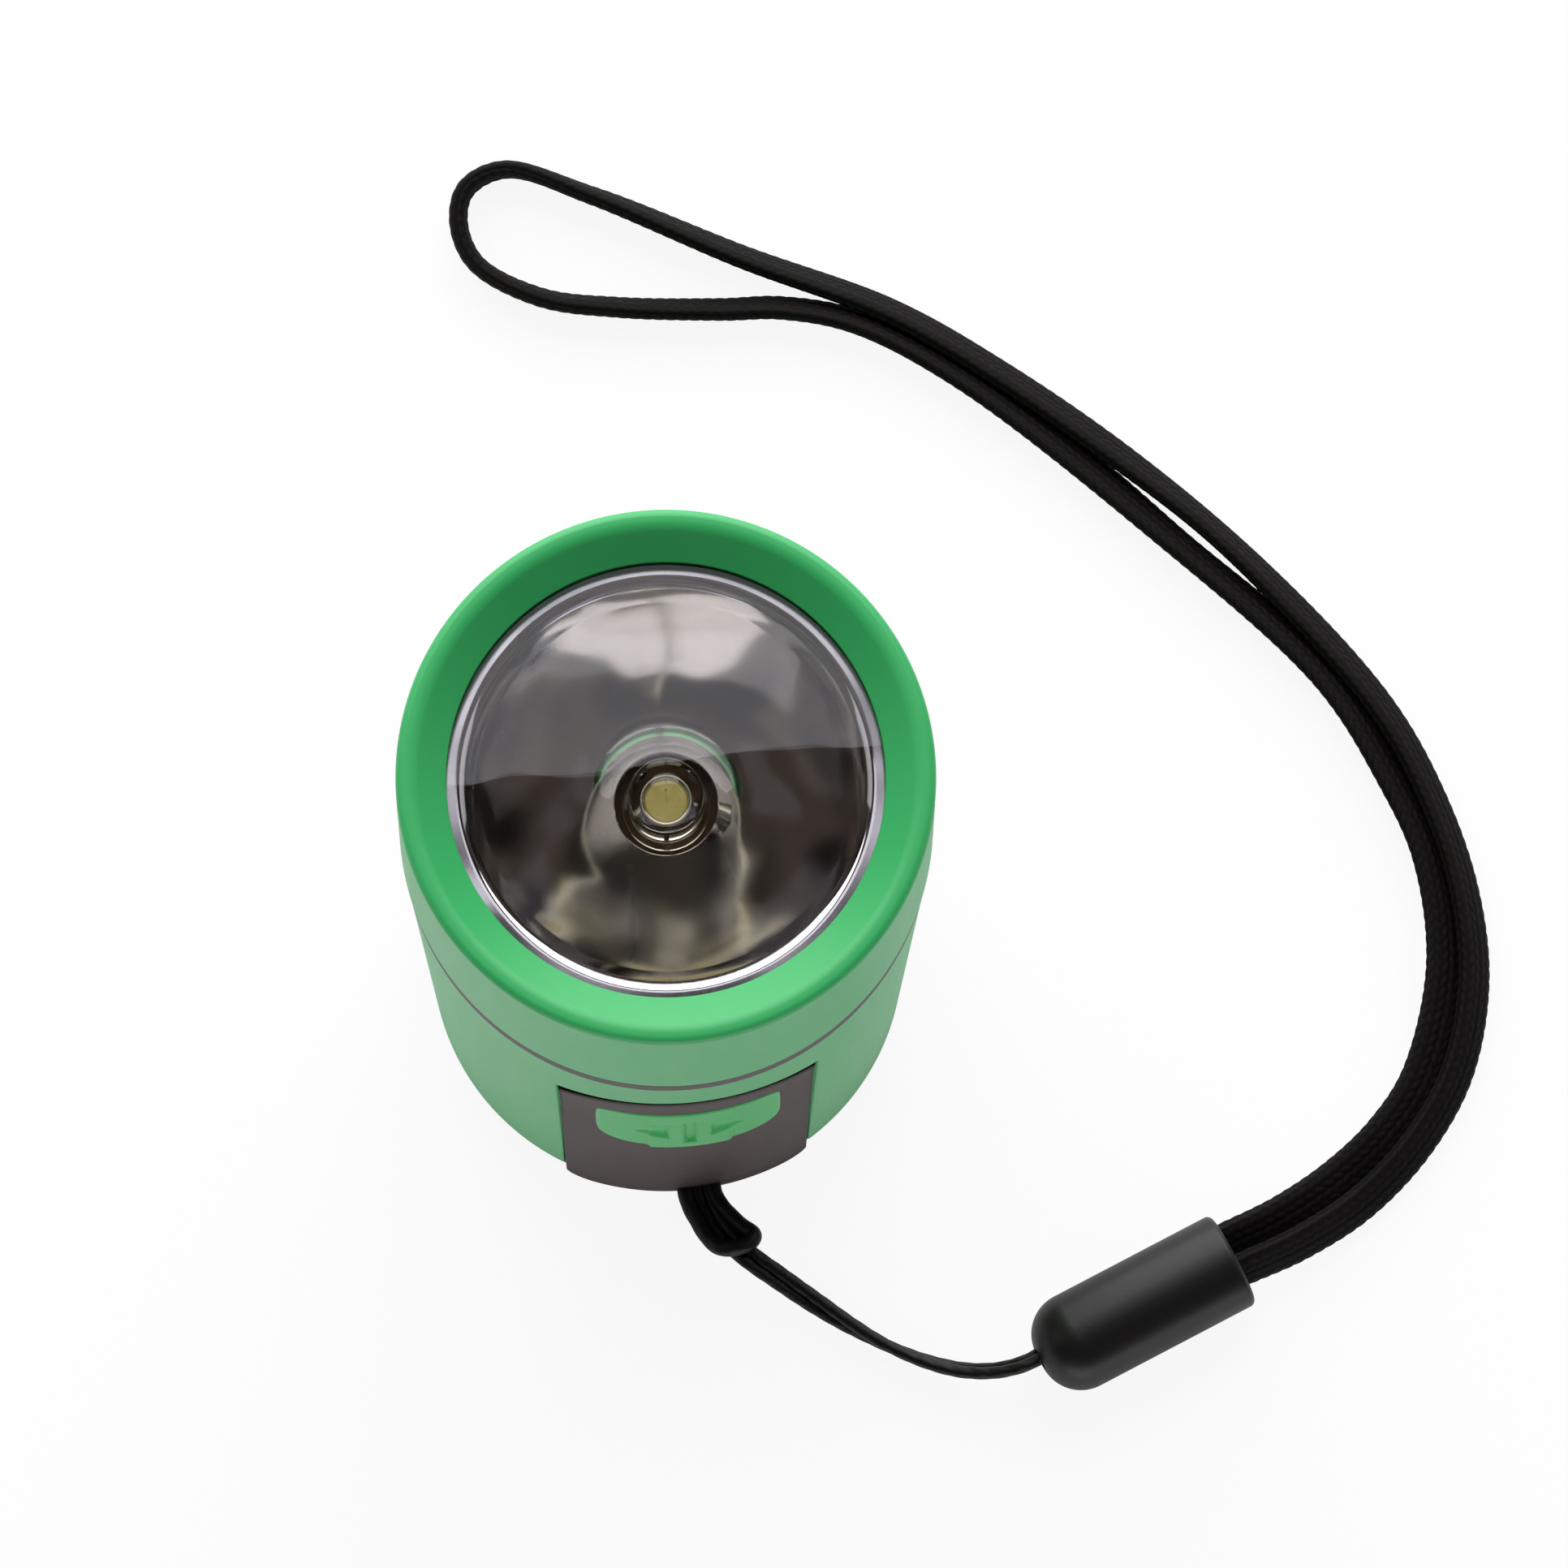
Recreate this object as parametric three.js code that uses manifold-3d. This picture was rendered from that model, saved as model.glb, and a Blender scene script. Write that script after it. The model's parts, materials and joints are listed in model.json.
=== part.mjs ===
// A small hand-cranked LED torch that stands on its tail, with its wrist strap laid on the surface.
// Millimetres, +Z up along the torch axis, lens at the top, switch panel facing -Y.
// The origin is on the axis, at the height of the surface that the tail stands on.
import * as THREE from 'three';
import { mergeVertices } from 'three/addons/utils/BufferGeometryUtils.js';
import Module from 'manifold-3d';

const wasm = await Module();
wasm.setup();

// Driving dimensions
const clearance = 0.3; // between pieces that touch or run past each other
const overrun = 1; // how far a cutter runs past the face that it cuts
const mergeDistance = 0.0001;
const roundSides = 40; // sides of a full turn on the large shells
const smallSides = 20; // sides of a full turn on small round pieces
const pinSides = 10;

// Outside of the body, and the small steps in its radius
const bodyRadius = 17.95; // at the foot of the bezel
const bodyWall = 1.95; // of the bezel there, which sets the bore of bezel and sleeve
const bandInset = 0.1;
const sleeveTopInset = 0.08;
const sleeveTaper = 0.45; // in radius, from the sleeve's top to its tail
const footInset = 0.42;
const panelInset = 0.87; // of the switch panel below the sleeve's top

// Grey core: tube, foot, switch panel, seam band and inner ledge
const footHeight = 4.7;
const coreWall = 1.4;
const bandHeight = 2.6;
const ledgeHeight = 2.4;
const ledgeWidth = 5.3;

// Green sleeve over the core
const sleeveLength = 68;
const slotHalfWidth = 9.05;
const slotTopInset = 8.6; // from the sleeve's top down to the top of the slot's arch
const slotArchRadius = 13.1;

// Green bezel
const bezelHeight = 22;
const bezelTaper = 0.45; // in radius, from its foot to its lip
const lipRound = 1;
const lipWidth = 0.5;
const lipLand = 2; // thickness over the lens edge
const windowInset = 3.6; // of the window's edge from the bezel's outside

// Lens, reflector and lamp
const lensThickness = 1.5;
const lensEdge = 0.2;
const rimWidth = 1.05; // bright flat ring round the bowl
const reflectorFlange = 1.2;
const reflectorDepth = 9.9;
const reflectorWall = 1.1;
const reflectorGap = 0.9; // round the lamp in the reflector's hole
const lampRadius = 2.5;
const lampFlangeWidth = 0.4;
const lampFlangeHeight = 1;
const lampHeight = 8.7;
const leadRadius = 0.3;
const leadSpacing = 2.54;
const leadTail = 1.6; // below the lamp board
const lampBoardThickness = 1.2;
const lampBoardRoom = 1.4; // between lamp board and reflector, for the screw heads
const screwRadius = 0.8;
const screwHeadRadius = 1.5;
const screwHeadHeight = 0.9;
const ringRadius = 0.75; // section of the O-ring
const ringHeight = 4; // of its groove above the bezel's foot

// Switch
const knobWidth = 13;
const knobHeight = 11.2;
const knobThickness = 0.95;
const knobTopCorner = 0.9;
const knobBottomCorner = 3.2;
const gripWidth = 6.2;
const gripProud = 0.2;
const markProud = 0.2;
const stemWidth = 3;
const stemHeight = 4;
const switchTravel = 6; // degrees to each side
const carriageThickness = 0.6;
const carriageWidth = 11.5;
const carriageHeight = 7;
const nubLength = 0.5;
const switchBodyWidth = 7.2;
const switchBodyDepth = 1.7;
const switchBodyHeight = 8.5;

// Boards and cells
const boardThickness = 1.2;
const boardEdgeGap = 0.5; // from the corners of the main board to the core
const capacitorRadius = 3.15;
const capacitorHeight = 8;
const chipWidth = 5;
const chipHeight = 6;
const chipThickness = 1.5;
const cellRadius = 7.75;
const cellHeight = 6.2;
const cellCount = 3;
const holderWall = 1.2;
const contactThickness = 0.4;
const wireRadius = 0.55;
const wireSpacing = 5;
const wireInset = 2.4; // from the holder's rim
const wireBend = 2;

// Crank
const tailRecess = 0.8; // from the standing surface up to the crank disc
const tailRingWidth = 1.3;
const tailRingHeight = 2.3;
const discFlangeHeight = 1.8;
const discWeb = 1; // over the knob's pocket
const armThickness = 2.6;
const armWidth = 6;
const hingeInset = 3.8; // from the disc's rim
const armPinRadius = 0.8;
const armPinLength = 13;
const crankKnobRadius = 3;
const crankKnobHeight = 3.6;
const knobEase = 0.4;
const pocketGap = 1; // round the knob
const pocketWall = 0.8;
const knobPinRadius = 0.8;

// Gears: the ring gear sets the module, the tooth counts give the pitch radii
const ringTeeth = 40;
const pinionTeeth = 10;
const wheelTeeth = 23;
const rotorTeeth = 7;
const driveGap = 2.375; // from the drive gear's rim to the core
const driveRingWall = 1.3;
const driveWebHeight = 1.1;
const gearFace = 2.6;
const gearSpacer = 0.7;
const screwDepth = 2.5;
const axleRadius = 0.7;
const plateThickness = 1.5;

// Generator
const canGap = 1.9; // from the can to the core
const canWall = 0.8;
const canHeight = 13.8;
const rotorPinionWall = 0.325; // over the shaft
const bushWall = 1.3;
const bobbinWall = 0.7;
const bobbinEndGap = 1;
const windingDepth = 3; // from the winding's bore to its outside
const windingInset = 0.6; // of the winding below the bobbin's flanges
const magnetEndGap = 1;
const magnetAirGap = 0.8;

// Wrist strap
const beadRadius = 3.7;
const beadLength = 16.6;
const beadNoseRadius = 2.6;
const beadTailRound = 0.7;
const strandRadius = 0.56;
const strandPitchRadius = 0.62; // from the line of the pair to the middle of a strand
const bandWidth = 1.65;
const bandDepth = 3;
const lanyardPinRadius = 0.8;
const lanyardPinInset = 1.5; // from the foot's outside
const lanyardSlotWidth = 5.4;
const lanyardSlotHeight = 2.6;
const collarThickness = 1;
const collarLength = 1.1;

// Radii that follow from the sizes above
const shellBore = bodyRadius - bodyWall;
const coreRadius = shellBore - clearance;
const coreBore = coreRadius - coreWall;
const innerRadius = coreBore - clearance; // of what fits inside the core
const bandRadius = bodyRadius - bandInset;
const sleeveTopRadius = bodyRadius - sleeveTopInset;
const sleeveTailRadius = sleeveTopRadius - sleeveTaper;
const footRadius = sleeveTailRadius - footInset;
const panelRadius = sleeveTopRadius - panelInset;
const bezelLipRadius = bodyRadius - bezelTaper;
const windowRadius = bodyRadius - windowInset;
const ledgeOpening = coreBore - ledgeWidth;

// Heights of the body and the head, from the tail up
const sleeveBase = footHeight + clearance;
const slotArchHeight = sleeveLength - slotTopInset;
const archTop = sleeveBase + slotArchHeight;
const bandBase = sleeveBase + sleeveLength + clearance;
const bezelBase = bandBase + bandHeight + clearance;
const bezelTop = bezelBase + bezelHeight;
const lipUnderside = bezelTop - lipLand;
const lensBase = lipUnderside - clearance - lensThickness;
const reflectorTop = lensBase - clearance;
const neckTop = reflectorTop - reflectorFlange - clearance;
const reflectorBase = reflectorTop - reflectorDepth;
const lampBoardBase = reflectorBase - reflectorWall - lampBoardRoom - lampBoardThickness;
const lampBase = lampBoardBase + lampBoardThickness + clearance;
const ledgeTop = lampBoardBase - clearance;
const ledgeBase = ledgeTop - ledgeHeight;

// Materials
function finish(color, roughness, metalness = 0) {
  return new THREE.MeshStandardMaterial({ color, roughness, metalness });
}
const greenPlastic = finish('#4db36e', 0.45);
const greyPlastic = finish('#5d5353', 0.55);
const blackPlastic = finish('#1c1a1b', 0.4);
const clearPlastic = finish('#e8eef0', 0.05);
const chromePlastic = finish('#b9b6ba', 0.08, 1);
const epoxy = finish('#dcd9bb', 0.1);
const boardBrown = finish('#6b4a2c', 0.7);
const boardGreen = finish('#2c6b45', 0.6);
const steel = finish('#a9acb0', 0.3, 1);
const brass = finish('#b5954f', 0.35, 1);
const copper = finish('#b06a3c', 0.35, 1);
const magnet = finish('#3b3c40', 0.6, 0.6);
const acetal = finish('#e6e2d6', 0.5);
const rubber = finish('#1a1a1a', 0.8);
const cordBlack = finish('#151213', 0.9);
const wireRed = finish('#a32020', 0.5);
const wireBlack = finish('#191919', 0.5);

// Solids: a geometry becomes a closed mesh with shared corners, and is joined or cut as one
function solid(geometry) {
  const bare = geometry.clone();
  bare.deleteAttribute('normal');
  bare.deleteAttribute('uv');
  const merged = mergeVertices(bare, mergeDistance);
  const position = merged.attributes.position.array;
  const corners = merged.index.array;
  const kept = [];
  let volume = 0;
  const a = new THREE.Vector3();
  const b = new THREE.Vector3();
  const c = new THREE.Vector3();
  for (let i = 0; i < corners.length; i += 3) {
    const [p, q, r] = [corners[i], corners[i + 1], corners[i + 2]];
    if (p === q || q === r || r === p) continue;
    kept.push(p, q, r);
    a.fromArray(position, 3 * p);
    b.fromArray(position, 3 * q);
    c.fromArray(position, 3 * r);
    volume += a.dot(b.cross(c));
  }
  if (volume < 0) kept.reverse();
  return new wasm.Manifold(new wasm.Mesh({
    numProp: 3,
    vertProperties: new Float32Array(position),
    triVerts: new Uint32Array(kept),
  }));
}

function geometryOf(manifold) {
  const mesh = manifold.getMesh();
  const geometry = new THREE.BufferGeometry();
  geometry.setAttribute('position', new THREE.BufferAttribute(mesh.vertProperties, 3));
  geometry.setIndex(new THREE.BufferAttribute(mesh.triVerts, 1));
  return geometry;
}

function combine(operation, first, others) {
  let result = solid(first);
  for (const other of others) result = result[operation](solid(other));
  return geometryOf(result);
}

const join = (first, ...others) => combine('add', first, others);
const cut = (first, ...others) => combine('subtract', first, others);
const common = (first, ...others) => combine('intersect', first, others);

// A profile of [radius, height] points turned about Z; off the axis it is closed on itself
function turned(profile, sides = roundSides) {
  const points = profile.map(([radius, height]) => new THREE.Vector2(radius, height));
  if (profile[0][0] > 0) points.push(points[0].clone());
  return new THREE.LatheGeometry(points, sides).rotateX(Math.PI / 2);
}

function disc(radius, base, height, sides = roundSides) {
  return turned([[0, base], [radius, base], [radius, base + height], [0, base + height]], sides);
}

function ring(inner, outer, base, height, sides = roundSides) {
  const top = base + height;
  return turned([[inner, base], [outer, base], [outer, top], [inner, top]], sides);
}

// A cutter for a hole along Z, wider than its pin by the clearance and past both faces
function drill(pinRadius, base, height, x = 0, y = 0, sides = pinSides) {
  return disc(pinRadius + clearance, base - overrun, height + 2 * overrun, sides).translate(x, y, 0);
}

function block(x, y, z, width, depth, height) {
  return new THREE.BoxGeometry(width, depth, height).translate(x, y, z + height / 2);
}

function prism(shape, base, height, curveSegments = pinSides) {
  const geometry = new THREE.ExtrudeGeometry(shape, { depth: height, bevelEnabled: false, curveSegments });
  return geometry.translate(0, 0, base);
}

// A wall between two radii over half an angle to each side of the -Y direction
function sector(inner, outer, halfAngle, base, height, steps = pinSides / 2) {
  const middle = -Math.PI / 2;
  const shape = new THREE.Shape();
  shape.absarc(0, 0, outer, middle - halfAngle, middle + halfAngle, false);
  shape.absarc(0, 0, inner, middle + halfAngle, middle - halfAngle, true);
  return prism(shape, base, height, steps);
}

// A flat outline in x and height, carried through the -Y side of the tube
const cornerSegments = 4; // of the arcs in flat outlines
function frontPrism(shape, near, far) {
  const options = { depth: far - near, bevelEnabled: false, curveSegments: cornerSegments };
  const geometry = new THREE.ExtrudeGeometry(shape, options);
  return geometry.rotateX(Math.PI / 2).translate(0, -near, 0);
}

function tube(points, radius, sides, steps) {
  const section = new THREE.Shape();
  section.absarc(0, 0, radius, 0, 2 * Math.PI, false);
  const path = new THREE.CatmullRomCurve3(points.map((point) => new THREE.Vector3(...point)));
  const curveSegments = sides / 2; // an arc takes two sides for each
  return new THREE.ExtrudeGeometry(section, { extrudePath: path, steps, curveSegments, bevelEnabled: false });
}

const torch = new THREE.Group();

function piece(name, geometry, material, place = [0, 0, 0], holder = torch) {
  const mesh = new THREE.Mesh(geometry, material);
  mesh.name = name;
  mesh.position.set(...place);
  holder.add(mesh);
  return mesh;
}

// Grey core: one moulding, a tube on a wide foot, with the raised switch panel up its front,
// the band that shows between sleeve and bezel, the neck inside the bezel and a ledge for the lamp
const panelHalfWidth = slotHalfWidth - clearance;
const panelHalfAngle = Math.asin(panelHalfWidth / panelRadius);

// The slot's outline: straight sides under a shallow arch, open at the tail
function slotOutline(halfWidth, top, bottom, radius) {
  const rise = Math.sqrt(radius ** 2 - halfWidth ** 2);
  const start = Math.atan2(rise, halfWidth);
  const shape = new THREE.Shape();
  shape.moveTo(-halfWidth, bottom);
  shape.lineTo(halfWidth, bottom);
  shape.absarc(0, top - radius, radius, start, Math.PI - start, false);
  shape.closePath();
  return shape;
}

const screwOffset = (ledgeOpening + coreBore) / 2;
const screwPlaces = [[screwOffset, 0], [-screwOffset, 0]];
const wireOffset = innerRadius - wireInset;
const wirePlaces = [[-wireSpacing / 2, wireOffset], [wireSpacing / 2, wireOffset]];
const windowHalfAngle = Math.asin(stemWidth / 2 / coreBore) + THREE.MathUtils.degToRad(switchTravel);
const wallMiddle = coreBore + coreWall / 2; // inside the tube's wall, where what is joined to it starts
const grooveRadius = coreRadius - ringRadius;

const lanyardPinPlace = lanyardPinInset - footRadius;
const switchFront = innerRadius - carriageThickness - nubLength - clearance;
const boardOffset = switchFront - switchBodyDepth - clearance - boardThickness; // to its back face

// Heights inside, from the crank at the tail up to the battery under the ledge
const pocketHeight = armThickness + crankKnobHeight + 3 * clearance;
const discTop = tailRecess + pocketHeight + discWeb;
const driveBase = discTop + clearance;
const driveRingBase = driveBase + driveWebHeight;
const pinionBase = driveRingBase + clearance;
const wheelBase = driveRingBase + gearFace + gearSpacer;
const wheelTop = wheelBase + gearFace;
const plateBase = wheelTop + gearSpacer;
const plateTop = plateBase + plateThickness;
const canBase = plateTop + clearance;
const canTop = canBase + canHeight;
const boardBase = canTop + clearance;
const holderHeight = cellCount * (cellHeight + clearance) + contactThickness + holderWall + clearance;
const holderTop = ledgeBase - clearance;
const holderBase = holderTop - holderHeight;
const boardHeight = holderBase - clearance - boardBase;
const stemMiddle = boardBase + boardHeight / 2; // the switch is at the middle of the main board
const knobBottom = stemMiddle - knobHeight / 2;

function makeCore() {
  const tubeWall = ring(coreBore, coreRadius, 0, neckTop);
  const foot = ring(wallMiddle, footRadius, 0, footHeight);
  const seamBand = ring(wallMiddle, bandRadius, bandBase, bandHeight);
  const ledge = ring(ledgeOpening, wallMiddle, ledgeBase, ledgeHeight);
  const panelWall = sector(wallMiddle, panelRadius, panelHalfAngle, footHeight / 2, archTop);
  const outline = slotOutline(panelHalfWidth, archTop - clearance, 0, slotArchRadius - clearance);
  const panel = common(panelWall, frontPrism(outline, coreBore, footRadius + overrun));
  const window = sector(
    coreBore - overrun, panelRadius + overrun, windowHalfAngle + clearance / coreBore,
    stemMiddle - stemHeight / 2 - clearance, stemHeight + 2 * clearance,
  );
  const notch = block(0, -footRadius, -overrun, lanyardSlotWidth, 2 * (footRadius - wallMiddle),
    lanyardSlotHeight + overrun);
  const pinHole = drill(lanyardPinRadius, overrun, footHeight - 2 * overrun, 0, lanyardPinPlace);
  const screwHoles = screwPlaces.map(([x, y]) => drill(screwRadius, ledgeBase, ledgeHeight, x, y));
  const wireHoles = wirePlaces.map(([x, y]) => drill(wireRadius, ledgeBase, ledgeHeight, x, y));
  const groove = ring(grooveRadius, coreRadius + overrun, bezelBase + ringHeight, 2 * ringRadius);
  const whole = join(tubeWall, foot, seamBand, ledge, panel);
  return cut(whole, window, notch, pinHole, groove, ...screwHoles, ...wireHoles);
}
piece('core_body', makeCore(), greyPlastic);

// Green sleeve: a slightly tapered tube pushed over the core, with the slot for the switch panel
function makeSleeve() {
  const wall = turned([
    [shellBore, 0], [sleeveTailRadius, 0], [sleeveTopRadius, sleeveLength], [shellBore, sleeveLength],
  ]);
  const outline = slotOutline(slotHalfWidth, slotArchHeight, -overrun, slotArchRadius);
  return cut(wall, frontPrism(outline, coreBore, bodyRadius + overrun));
}
piece('body_sleeve', makeSleeve(), greenPlastic, [0, 0, sleeveBase]);

// Green bezel: screws over the neck and holds the lens and reflector down with its lip
function makeBezel() {
  const seat = lipUnderside - bezelBase;
  const roundSteps = 5;
  const profile = [[shellBore, 0], [bodyRadius, 0], [bezelLipRadius, bezelHeight - lipRound]];
  for (let i = 1; i <= roundSteps; i++) {
    const angle = (i / roundSteps) * (Math.PI / 2);
    const x = bezelLipRadius - lipRound * (1 - Math.cos(angle));
    profile.push([x, bezelHeight - lipRound * (1 - Math.sin(angle))]);
  }
  profile.push([bezelLipRadius - lipRound - lipWidth, bezelHeight]);
  profile.push([windowRadius + lipWidth / 2, seat + lipWidth / 2], [windowRadius, seat], [shellBore, seat]);
  return turned(profile);
}
piece('bezel_ring', makeBezel(), greenPlastic, [0, 0, bezelBase]);

// O-ring in the neck's groove, inside the bezel
function makeRing() {
  const section = [];
  const sides = 6;
  const innermost = grooveRadius + clearance / 2;
  const outermost = shellBore - clearance / 2;
  const middle = (innermost + outermost) / 2;
  for (let i = 0; i < sides; i++) {
    const angle = (i / sides) * 2 * Math.PI;
    const half = (outermost - innermost) / 2;
    section.push([middle + half * Math.cos(angle), (ringRadius - clearance / 2) * Math.sin(angle)]);
  }
  return turned(section);
}
piece('head_oring', makeRing(), rubber, [0, 0, bezelBase + ringHeight + ringRadius]);

// Clear front lens, a flat disc with an eased edge
const lensRadius = coreRadius;
piece('front_lens', turned([
  [0, 0], [lensRadius - lensEdge, 0], [lensRadius, lensEdge], [lensRadius, lensThickness - lensEdge],
  [lensRadius - lensEdge, lensThickness], [0, lensThickness],
]), clearPlastic, [0, 0, lensBase]);

// Reflector: a parabolic bowl with a flat flange that rests on the neck
const bowlRadius = windowRadius - rimWidth;
const reflectorHole = lampRadius + reflectorGap;
const bowlSpread = (bowlRadius ** 2 - reflectorHole ** 2) / reflectorDepth;
const bowlHeight = (radius) => (radius ** 2 - reflectorHole ** 2) / bowlSpread;
function makeReflector() {
  const steps = 8;
  const inner = [];
  const outer = [];
  for (let i = 0; i <= steps; i++) {
    const radius = reflectorHole + (bowlRadius - reflectorHole) * (i / steps);
    inner.push([radius, bowlHeight(radius)]);
    const under = [radius + reflectorWall, bowlHeight(radius)];
    if (under[0] < innerRadius && under[1] < reflectorDepth - reflectorFlange) outer.push(under);
  }
  const flangeBase = reflectorDepth - reflectorFlange;
  const last = outer[outer.length - 1][0];
  const collar = [[reflectorHole, -reflectorWall], [reflectorHole + reflectorWall, -reflectorWall]];
  return turned([
    ...inner.reverse(), ...collar, ...outer,
    [last + reflectorWall / 2, flangeBase], [lensRadius, flangeBase], [lensRadius, reflectorDepth],
  ]);
}
piece('reflector', makeReflector(), chromePlastic, [0, 0, reflectorBase]);

// Lamp: a 5 mm LED, its two leads, and the brown board that it stands on with two screws
function makeLamp() {
  const domeSteps = 6;
  const shoulder = lampHeight - lampRadius;
  const flange = lampRadius + lampFlangeWidth;
  const profile = [[0, 0], [flange, 0], [flange, lampFlangeHeight], [lampRadius, lampFlangeHeight]];
  for (let i = 0; i <= domeSteps; i++) {
    const angle = (i / domeSteps) * (Math.PI / 2);
    const x = i === domeSteps ? 0 : lampRadius * Math.cos(angle);
    profile.push([x, shoulder + lampRadius * Math.sin(angle)]);
  }
  return turned(profile, smallSides);
}
piece('led_lamp', makeLamp(), epoxy, [0, 0, lampBase]);
const leadLength = leadTail + lampBoardThickness;
const leadPlaces = { anode_lead: leadSpacing / 2, cathode_lead: -leadSpacing / 2 };
for (const [name, x] of Object.entries(leadPlaces)) {
  piece(name, disc(leadRadius, 0, leadLength, pinSides), steel, [x, 0, lampBase - clearance - leadLength]);
}
const lampBoardHoles = [
  ...screwPlaces.map(([x, y]) => drill(screwRadius, 0, lampBoardThickness, x, y)),
  ...Object.values(leadPlaces).map((x) => drill(leadRadius, 0, lampBoardThickness, x)),
];
piece('led_board', cut(disc(innerRadius, 0, lampBoardThickness), ...lampBoardHoles), boardBrown,
  [0, 0, lampBoardBase]);
screwPlaces.forEach(([x, y], i) => {
  const shank = ledgeHeight + lampBoardThickness + 2 * clearance;
  piece(`led_board_screw_${i + 1}`, turned([
    [0, -shank], [screwRadius, -shank], [screwRadius, 0], [screwHeadRadius, 0],
    [screwHeadRadius, screwHeadHeight], [0, screwHeadHeight],
  ], pinSides), steel, [x, y, lampBase]);
});

// Switch: a green thumb piece that slides round the panel, its inner carriage and the switch
const knobInner = panelRadius + clearance;
const knobOuter = knobInner + knobThickness;
function knobOutline() {
  const half = knobWidth / 2;
  const top = knobBottom + knobHeight;
  const low = knobBottomCorner;
  const shape = new THREE.Shape();
  shape.absarc(-half + low, knobBottom + low, low, Math.PI, 1.5 * Math.PI, false);
  shape.absarc(half - low, knobBottom + low, low, 1.5 * Math.PI, 2 * Math.PI, false);
  shape.absarc(half - knobTopCorner, top - knobTopCorner, knobTopCorner, 0, Math.PI / 2, false);
  shape.absarc(-half + knobTopCorner, top - knobTopCorner, knobTopCorner, Math.PI / 2, Math.PI, false);
  shape.closePath();
  return shape;
}

// A raised mark on the thumb piece: the corners are shares of its half width and height
function markOutline(shares) {
  const points = shares.map(([x, y]) => (
    new THREE.Vector2(x * knobWidth / 2, knobBottom + y * knobHeight)));
  return new THREE.Shape(points);
}
const barShares = [[-0.1, 0.12], [0.1, 0.12], [0.1, 0.62], [-0.1, 0.62]];
const rightArrowShares = [[0.26, 0.14], [0.26, 0.46], [0.72, 0.3]];
const leftArrowShares = rightArrowShares.map(([x, y]) => [-x, y]).reverse();

function makeKnob() {
  const inside = knobInner + knobThickness / 2; // within the plate, where what stands on it starts
  const halfAngle = Math.asin(knobWidth / 2 / knobInner);
  const plateAngle = halfAngle + knobThickness / knobOuter;
  const plateWall = sector(knobInner, knobOuter, plateAngle, knobBottom, knobHeight);
  const plate = common(plateWall, frontPrism(knobOutline(), coreBore, bodyRadius + overrun));
  const gripAngle = gripWidth / 2 / knobOuter;
  const gripRadius = knobOuter + gripProud;
  const grip = sector(inside, gripRadius, gripAngle, knobBottom, knobHeight - knobBottomCorner);
  const markWall = sector(inside, gripRadius + markProud, halfAngle, knobBottom, knobHeight);
  const marks = [barShares, rightArrowShares, leftArrowShares].map((shares) => (
    common(markWall, frontPrism(markOutline(shares), coreBore, bodyRadius + overrun))));
  const stemBase = stemMiddle - stemHeight / 2;
  const stem = block(0, -(coreBore + inside) / 2, stemBase, stemWidth, inside - coreBore, stemHeight);
  return join(plate, grip, ...marks, stem);
}
piece('switch_knob', makeKnob(), greenPlastic);

const carriageInner = innerRadius - carriageThickness;
function makeCarriage() {
  const base = stemMiddle - carriageHeight / 2;
  const plate = sector(carriageInner, innerRadius, carriageWidth / 2 / innerRadius, base, carriageHeight);
  const nubDepth = nubLength + carriageThickness / 2;
  const nubMiddle = carriageInner - nubLength + nubDepth / 2;
  const nub = block(0, -nubMiddle, stemMiddle - stemHeight / 2, stemWidth, nubDepth, stemHeight);
  return join(plate, nub);
}
piece('switch_carriage', makeCarriage(), acetal);
piece('switch_body', block(0, -(switchFront - switchBodyDepth / 2), 0, switchBodyWidth, switchBodyDepth,
  switchBodyHeight), steel, [0, 0, stemMiddle - switchBodyHeight / 2]);

// Gearbox: the crank's internal ring gear turns the compound idler, and that turns the rotor pinion
function gearOutline(teeth, shares, phase) {
  const points = [];
  for (let i = 0; i < teeth; i++) {
    for (const [turnShare, radius] of shares) {
      const angle = (2 * Math.PI * (i + phase + turnShare)) / teeth;
      points.push(new THREE.Vector2(radius * Math.cos(angle), radius * Math.sin(angle)));
    }
  }
  return points;
}

// Tooth corners as shares of one tooth's turn, with the radius at each: root, tip, tip, root.
// The ring gear's root circle sets the module
const rootShare = 0.3;
const tipShare = 0.11;
const addendumShare = 0.6;
const dedendumShare = 1.25;
const driveRadius = coreBore - driveGap;
const gearModule = (driveRadius - driveRingWall) / (ringTeeth / 2 + dedendumShare);
const addendum = addendumShare * gearModule;
const dedendum = dedendumShare * gearModule;
const pitchRadius = (teeth) => (teeth * gearModule) / 2;
const gearDistance = pitchRadius(ringTeeth) - pitchRadius(pinionTeeth);
const shaftRadius = pitchRadius(rotorTeeth) - dedendum - rotorPinionWall;
function toothedShape(teeth, root, tip, phase) {
  const tooth = [[-rootShare, root], [-tipShare, tip], [tipShare, tip], [rootShare, root]];
  return new THREE.Shape(gearOutline(teeth, tooth, phase));
}
function externalTeeth(teeth) {
  return toothedShape(teeth, pitchRadius(teeth) - dedendum, pitchRadius(teeth) + addendum, 0);
}
const meshPhaseShare = 0.5; // of a tooth, so that a tooth of the pinion stands in a gap of the ring gear
function internalTeeth(teeth) {
  return toothedShape(teeth, pitchRadius(teeth) + dedendum, pitchRadius(teeth) - addendum, meshPhaseShare);
}

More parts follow.
